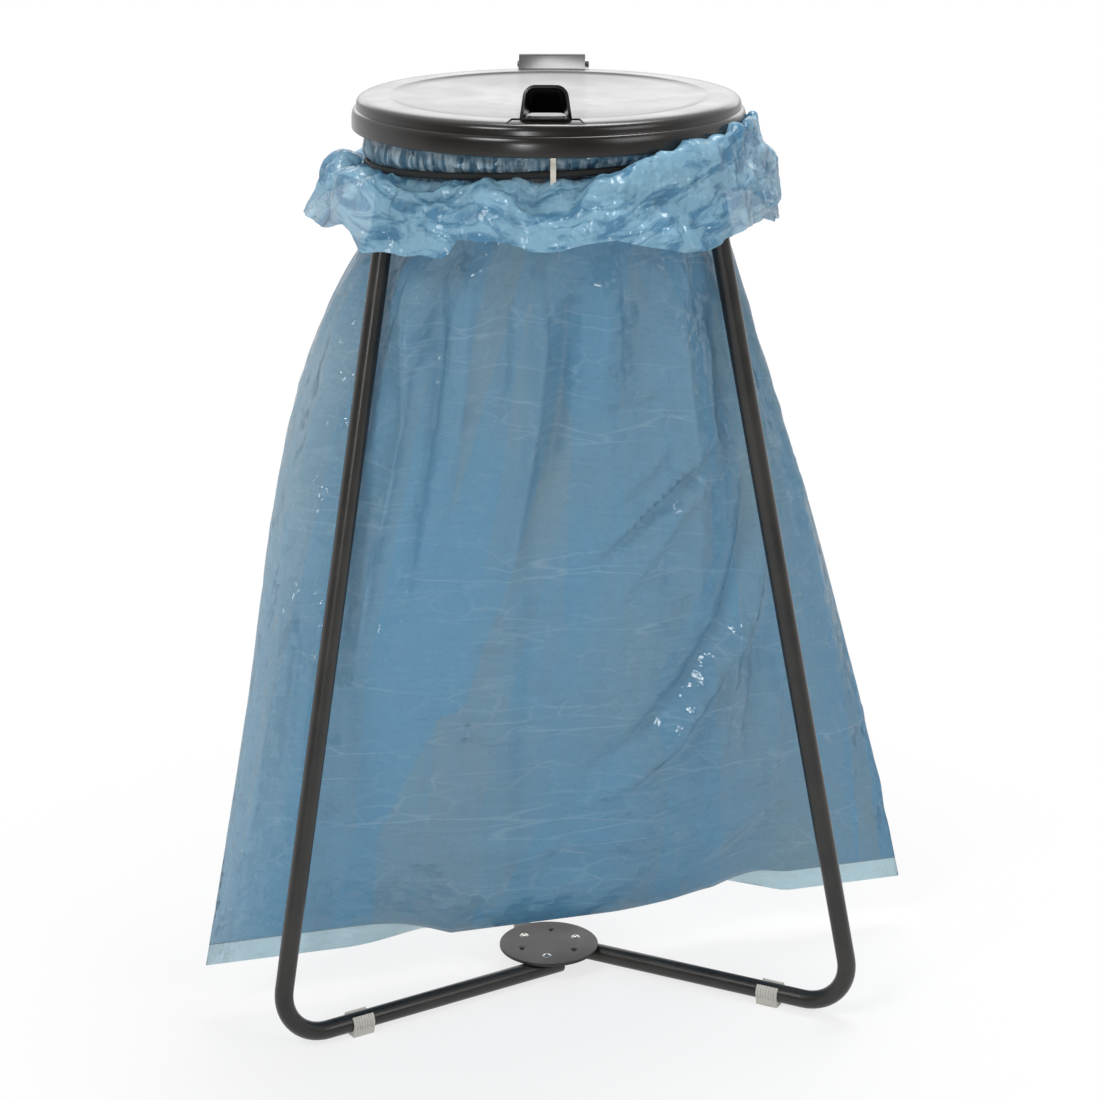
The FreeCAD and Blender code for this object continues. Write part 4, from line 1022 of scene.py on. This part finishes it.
class BBH_OT_lid(bpy.types.Operator):
    """Model the lid as one moulding: stepped rim and dished top, front grip, hinge cover and rib"""
    bl_idname = "bbh.lid"
    bl_label = "Lid"

    def execute(self, context):
        look = context.scene.bbh_lid
        parts = [self.disc(look), self.rib(), self.grip(), self.hinge_cover()]
        deselect()
        for part in parts:
            part.select_set(True)
        context.view_layer.objects.active = parts[0]
        bpy.ops.object.join()
        obj = context.object
        bpy.ops.object.transform_apply()
        bpy.ops.object.shade_smooth_by_angle(angle=math.radians(38.0))
        finish_piece(obj, "lid_moulding", "lid", moulded_black_material(look), ["lid"])
        return {"FINISHED"}

    def disc(self, look):
        """The turned form, with the shallow pad in front of the grip sunk into it."""
        edge_r, edge_z = LID_LINE[-1]
        line = list(LID_LINE)
        for share in DISH_POINTS:
            line.append((edge_r * share, edge_z - look.dish / MM * (1.0 - share ** 1.9)))
        disc = drawn_round(line, 192)
        thicken_wall(disc, look.wall)
        deselect()
        bpy.ops.mesh.primitive_cube_add(size=1.0, location=(0.0, -0.1598, 0.8885),
                                        scale=(0.0595, 0.0262, 0.005))
        cutter = bpy.context.object
        bpy.ops.object.transform_apply(location=False)
        mode("EDIT")
        pick(cutter, "VERT", lambda vertex, place, way: place.y < 0)
        bpy.ops.transform.resize(value=(69.5 / 59.5, 1.0, 1.0))
        pick(cutter, "VERT", lambda vertex, place, way: place.y < 0 and place.z < 0)
        bpy.ops.transform.translate(value=(0.0, 0.0, -0.0005))
        mode("OBJECT")
        deselect()
        bpy.context.view_layer.objects.active = disc
        disc.select_set(True)
        cut = disc.modifiers.new("pad", "BOOLEAN")
        cut.operation = "DIFFERENCE"
        cut.object = cutter
        bpy.ops.object.modifier_apply(modifier="pad")
        bpy.data.objects.remove(cutter)
        return disc

    def rib(self):
        """The rib below the top that comes down on the film over the ring, open at the hook."""
        rib = drawn_round([(165.0, 858.7), (165.0, 878.0), (165.0, 885.2)], 192)
        mode("EDIT")
        pick(rib, "FACE", lambda face, place, way: abs(place.x - 0.007) < 0.009 and place.y < 0
             and place.z < 0.878 - rib.location.z)
        bpy.ops.mesh.delete(type="FACE")
        mode("OBJECT")
        thicken_wall(rib, 0.002)
        return rib

    def grip(self):
        """A hood open to the front, drawn back from its arched mouth and down to its low tail."""
        deselect()
        base, height, length = 0.8855, 0.0307, 0.044
        front = -CREASE_R * MM
        bpy.ops.mesh.primitive_plane_add(size=1.0, location=(0.0, front, base + height / 2),
                                         rotation=(math.radians(90.0), 0.0, 0.0))
        grip = bpy.context.object
        grip.scale = (0.0464, height, 1.0)
        bpy.ops.object.transform_apply()
        mode("EDIT")
        pick(grip, "VERT", lambda vertex, place, way: place.z > base + height / 2)
        bpy.ops.transform.resize(value=(37.4 / 46.4, 1.0, 1.0))
        bpy.ops.mesh.bevel(offset=0.0095, segments=10, affect="VERTICES")
        pick(grip, "FACE", lambda face, place, way: True)
        bpy.ops.mesh.delete(type="ONLY_FACE")
        pick(grip, "EDGE", lambda edge, place, way: place.z < base + NEAR)
        bpy.ops.mesh.delete(type="EDGE")
        bpy.ops.mesh.select_all(action="SELECT")
        size = (1.0, 1.0)
        for before, share in zip(GRIP_SHARES, GRIP_SHARES[1:]):
            fall = share ** 1.8
            target = (1.0 - 0.22 * share, 1.0 - fall * (1.0 - 0.0055 / height))
            step = length * (share - before)
            bpy.ops.mesh.extrude_region_move(TRANSFORM_OT_translate={"value": (0.0, step, 0.0)})
            middle = (0.0, front + length * share, base)
            bpy.ops.transform.resize(value=(target[0] / size[0], 1.0, target[1] / size[1]),
                                     center_override=middle)
            size = target
        bpy.ops.mesh.extrude_region_move(TRANSFORM_OT_translate={"value": (0.0, 0.002, 0.0)})
        bpy.ops.transform.resize(value=(0.96, 1.0, 0.1), center_override=(0.0, front + length, base))
        mode("OBJECT")
        face_out(grip, Vector((0.0, front + length / 2, base)))
        thicken_wall(grip, 0.0026)
        round_edges(grip, 0.0009, 3, 50.0)
        return grip

    def hinge_cover(self):
        """A box over the pin, ramped at the front, rounded at the back and open below."""
        deselect()
        front, ridge, rear = 0.166, 0.1875, 0.2006
        low, ramp_foot, wall_foot, top = 0.8802, 0.8866, 0.8881, 0.8979
        bpy.ops.mesh.primitive_cube_add(size=1.0, location=(0.0, (front + rear) / 2, (low + top) / 2),
                                        scale=(0.0652, rear - front, top - low))
        cover = bpy.context.object
        bpy.ops.object.transform_apply()
        mode("EDIT")
        bpy.ops.mesh.select_all(action="SELECT")
        bpy.ops.mesh.bisect(plane_co=(0.0, ridge, 0.0), plane_no=(0.0, 1.0, 0.0))
        pick(cover, "VERT", lambda vertex, place, way: place.y < front + NEAR and place.z > low + NEAR)
        bpy.ops.transform.translate(value=(0.0, 0.0, ramp_foot - top))
        # The back wall ends at the pin's height, so it clears the strap when the lid stands open
        pick(cover, "VERT", lambda vertex, place, way: place.y > rear - NEAR and place.z < low + NEAR)
        bpy.ops.transform.translate(value=(0.0, 0.0, wall_foot - low))
        pick(cover, "EDGE", lambda edge, place, way: place.y > rear - NEAR and place.z > top - NEAR
             and abs(way.x) > 0.9)
        bpy.ops.mesh.bevel(offset=0.0088, segments=8)
        pick(cover, "EDGE", lambda edge, place, way: abs(place.y - ridge) < NEAR and place.z > top - NEAR
             and abs(way.x) > 0.9)
        bpy.ops.mesh.bevel(offset=0.003, segments=4)
        pick(cover, "FACE", lambda face, place, way: way.z < -0.7)
        bpy.ops.mesh.delete(type="FACE")
        mode("OBJECT")
        thicken_wall(cover, 0.0021)
        round_edges(cover, 0.0008, 3, 40.0)
        return cover


class BBH_OT_frame_finish(bpy.types.Operator):
    """Give the tubes, hub, fasteners, glides, ring, band and hook their finishes"""
    bl_idname = "bbh.frame_finish"
    bl_label = "Frame finishes"

    def execute(self, context):
        look = context.scene.bbh_frame
        coat = powder_coat_material(look, "black_powder_coat", 0.3)
        plate = powder_coat_material(look, "black_powder_coat_plate", 0.46)
        plastic = moulded_black_material(context.scene.bbh_lid)
        plastic.name = "moulded_black_ring"
        bright = metal_material("tumbled_aluminium_rivet", tuple(look.metal), 0.24, 0.8, 0.01, 0.3)
        zinc = metal_material("zinc_plated_steel", linear("B4B6B8"), 0.34, 0.6, 0.01, 0.3)
        nickel = metal_material("nickel_plated_spring", linear("D9D4C8"), 0.38, 0.5, 0.008, 0.25)
        finishes = {"bag_ring": plastic, "elastic_band": elastic_material(look), "band_hook": nickel,
                    "hub_plate": plate}
        glide = glide_material(look)
        for name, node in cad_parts.items():
            material = finishes.get(name, coat)
            if name.startswith("hub_rivet"):
                material = bright
            elif "screw" in name or name in ("hinge_pin", "pin_cap", "hinge_bracket"):
                material = zinc
            elif name.endswith("_foot"):
                material = glide
            node.data.materials.clear()
            node.data.materials.append(material)
        return {"FINISHED"}


class BBH_OT_stage(bpy.types.Operator):
    """Set the pale floor and backdrop, the soft lights and the photograph's camera"""
    bl_idname = "bbh.stage"
    bl_label = "Stage"

    def execute(self, context):
        look = context.scene.bbh_stage
        context.scene.view_settings.view_transform = "Standard"
        self.room(context.scene)
        self.floor(look)
        for name, place, aim, size, power in (
                ("key_light", (-1.5, -2.2, 2.6), (0, 0, 0.6), (1.0, 1.0), look.key),
                ("fill_light", (2.2, -1.8, 1.9), (0, 0, 0.6), (1.4, 1.4), look.fill),
                ("front_light", (-0.75, -3.3, 0.95), (0, 0, 0.55), (0.3, 0.5), look.front),
                ("top_light", (0.25, 0.5, 2.5), (0, 0, 0.8), (1.1, 0.6), look.top),
                ("wall_light", (0.2, 3.1, 1.72), (0, 0, 0.88), (3.8, 1.1), look.wall)):
            bpy.ops.object.light_add(type="AREA", location=place)
            lamp = context.object
            lamp.name = name
            lamp.data.shape = "RECTANGLE"
            lamp.data.size, lamp.data.size_y = size
            lamp.data.energy = power
            lamp.visible_camera = False
            way = Vector(aim) - Vector(place)
            lamp.rotation_euler = way.to_track_quat("-Z", "Y").to_euler()
        bpy.ops.object.camera_add(location=[c * MM for c in CAMERA_AT], rotation=(
            math.radians(90.0 - CAMERA_PITCH), 0.0, math.radians(CAMERA_YAW)))
        camera = context.object
        camera.name = "photo_camera"
        camera.data.lens = look.lens
        camera.data.sensor_width = CAMERA_SENSOR
        camera.data.clip_end = 50.0
        context.scene.camera = camera
        return {"FINISHED"}

    def room(self, scene):
        """Plain soft light, white behind the object to the eye and to gloss."""
        scene.world = bpy.data.worlds.new("soft_room")
        scene.world.use_nodes = True
        tree = scene.world.node_tree
        tree.nodes.clear()
        eye, gloss = background_rays(tree)
        # Gloss shows the white backdrop, and the dimmer room on the camera's side
        way = add_node(tree, "SeparateXYZ", {"Vector": add_node(tree, "TexCoord").outputs["Generated"]})
        side = add_node(tree, "MapRange", {"Value": way.outputs["Y"], "From Min": -0.5, "From Max": 0.2,
                                           "To Min": ROOM_IN_GLOSS, "To Max": 1.0})
        level = add_node(tree, "Math", {0: eye, 1: side}, operation="MAXIMUM")
        soft = add_node(tree, "Background", {"Color": linear(WHITE), "Strength": ROOM_LIGHT})
        shown = add_node(tree, "Background", {"Color": linear(WHITE), "Strength": level})
        seen = add_node(tree, "Math", {0: eye, 1: gloss}, operation="MAXIMUM")
        both = add_node(tree, "MixShader", {0: seen, 1: soft, 2: shown})
        add_node(tree, "OutputWorld", {"Surface": both})

    def floor(self, look):
        deselect()
        bpy.ops.mesh.primitive_plane_add(size=20.0)
        floor = bpy.context.object
        floor.name = "floor"
        floor.data.materials.append(sweep_material(look))


class BBH_PT_panel(bpy.types.Panel):
    """Pieces and settings of the bin bag holder"""
    bl_idname = "BBH_PT_panel"
    bl_label = "Bin bag holder"
    bl_space_type = "VIEW_3D"
    bl_region_type = "UI"
    bl_category = "Bin bag holder"

    def draw(self, context):
        for label, settings, operators in (
                ("Film bag", context.scene.bbh_film, ("bbh.film_bag",)),
                ("Lid", context.scene.bbh_lid, ("bbh.lid",)),
                ("Frame", context.scene.bbh_frame, ("bbh.frame_finish",)),
                ("Stage", context.scene.bbh_stage, ("bbh.stage",))):
            box = self.layout.box()
            box.label(text=label)
            for name in settings.__annotations__:
                box.prop(settings, name)
            for operator in operators:
                box.operator(operator)


SETTINGS = (("bbh_film", BBH_PG_film), ("bbh_lid", BBH_PG_lid), ("bbh_frame", BBH_PG_frame),
            ("bbh_stage", BBH_PG_stage))
CLASSES = (BBH_OT_film_bag, BBH_OT_lid, BBH_OT_frame_finish, BBH_OT_stage, BBH_PT_panel)


def register():
    for name, group in SETTINGS:
        bpy.utils.register_class(group)
        setattr(bpy.types.Scene, name, PointerProperty(type=group))
    for cls in CLASSES:
        bpy.utils.register_class(cls)


def unregister():
    for cls in reversed(CLASSES):
        bpy.utils.unregister_class(cls)
    for name, group in reversed(SETTINGS):
        delattr(bpy.types.Scene, name)
        bpy.utils.unregister_class(group)


def main():
    register()
    bpy.ops.bbh.frame_finish()
    bpy.ops.bbh.film_bag()
    bpy.ops.bbh.lid()
    bpy.ops.bbh.stage()


if __name__ == "__main__":
    main()
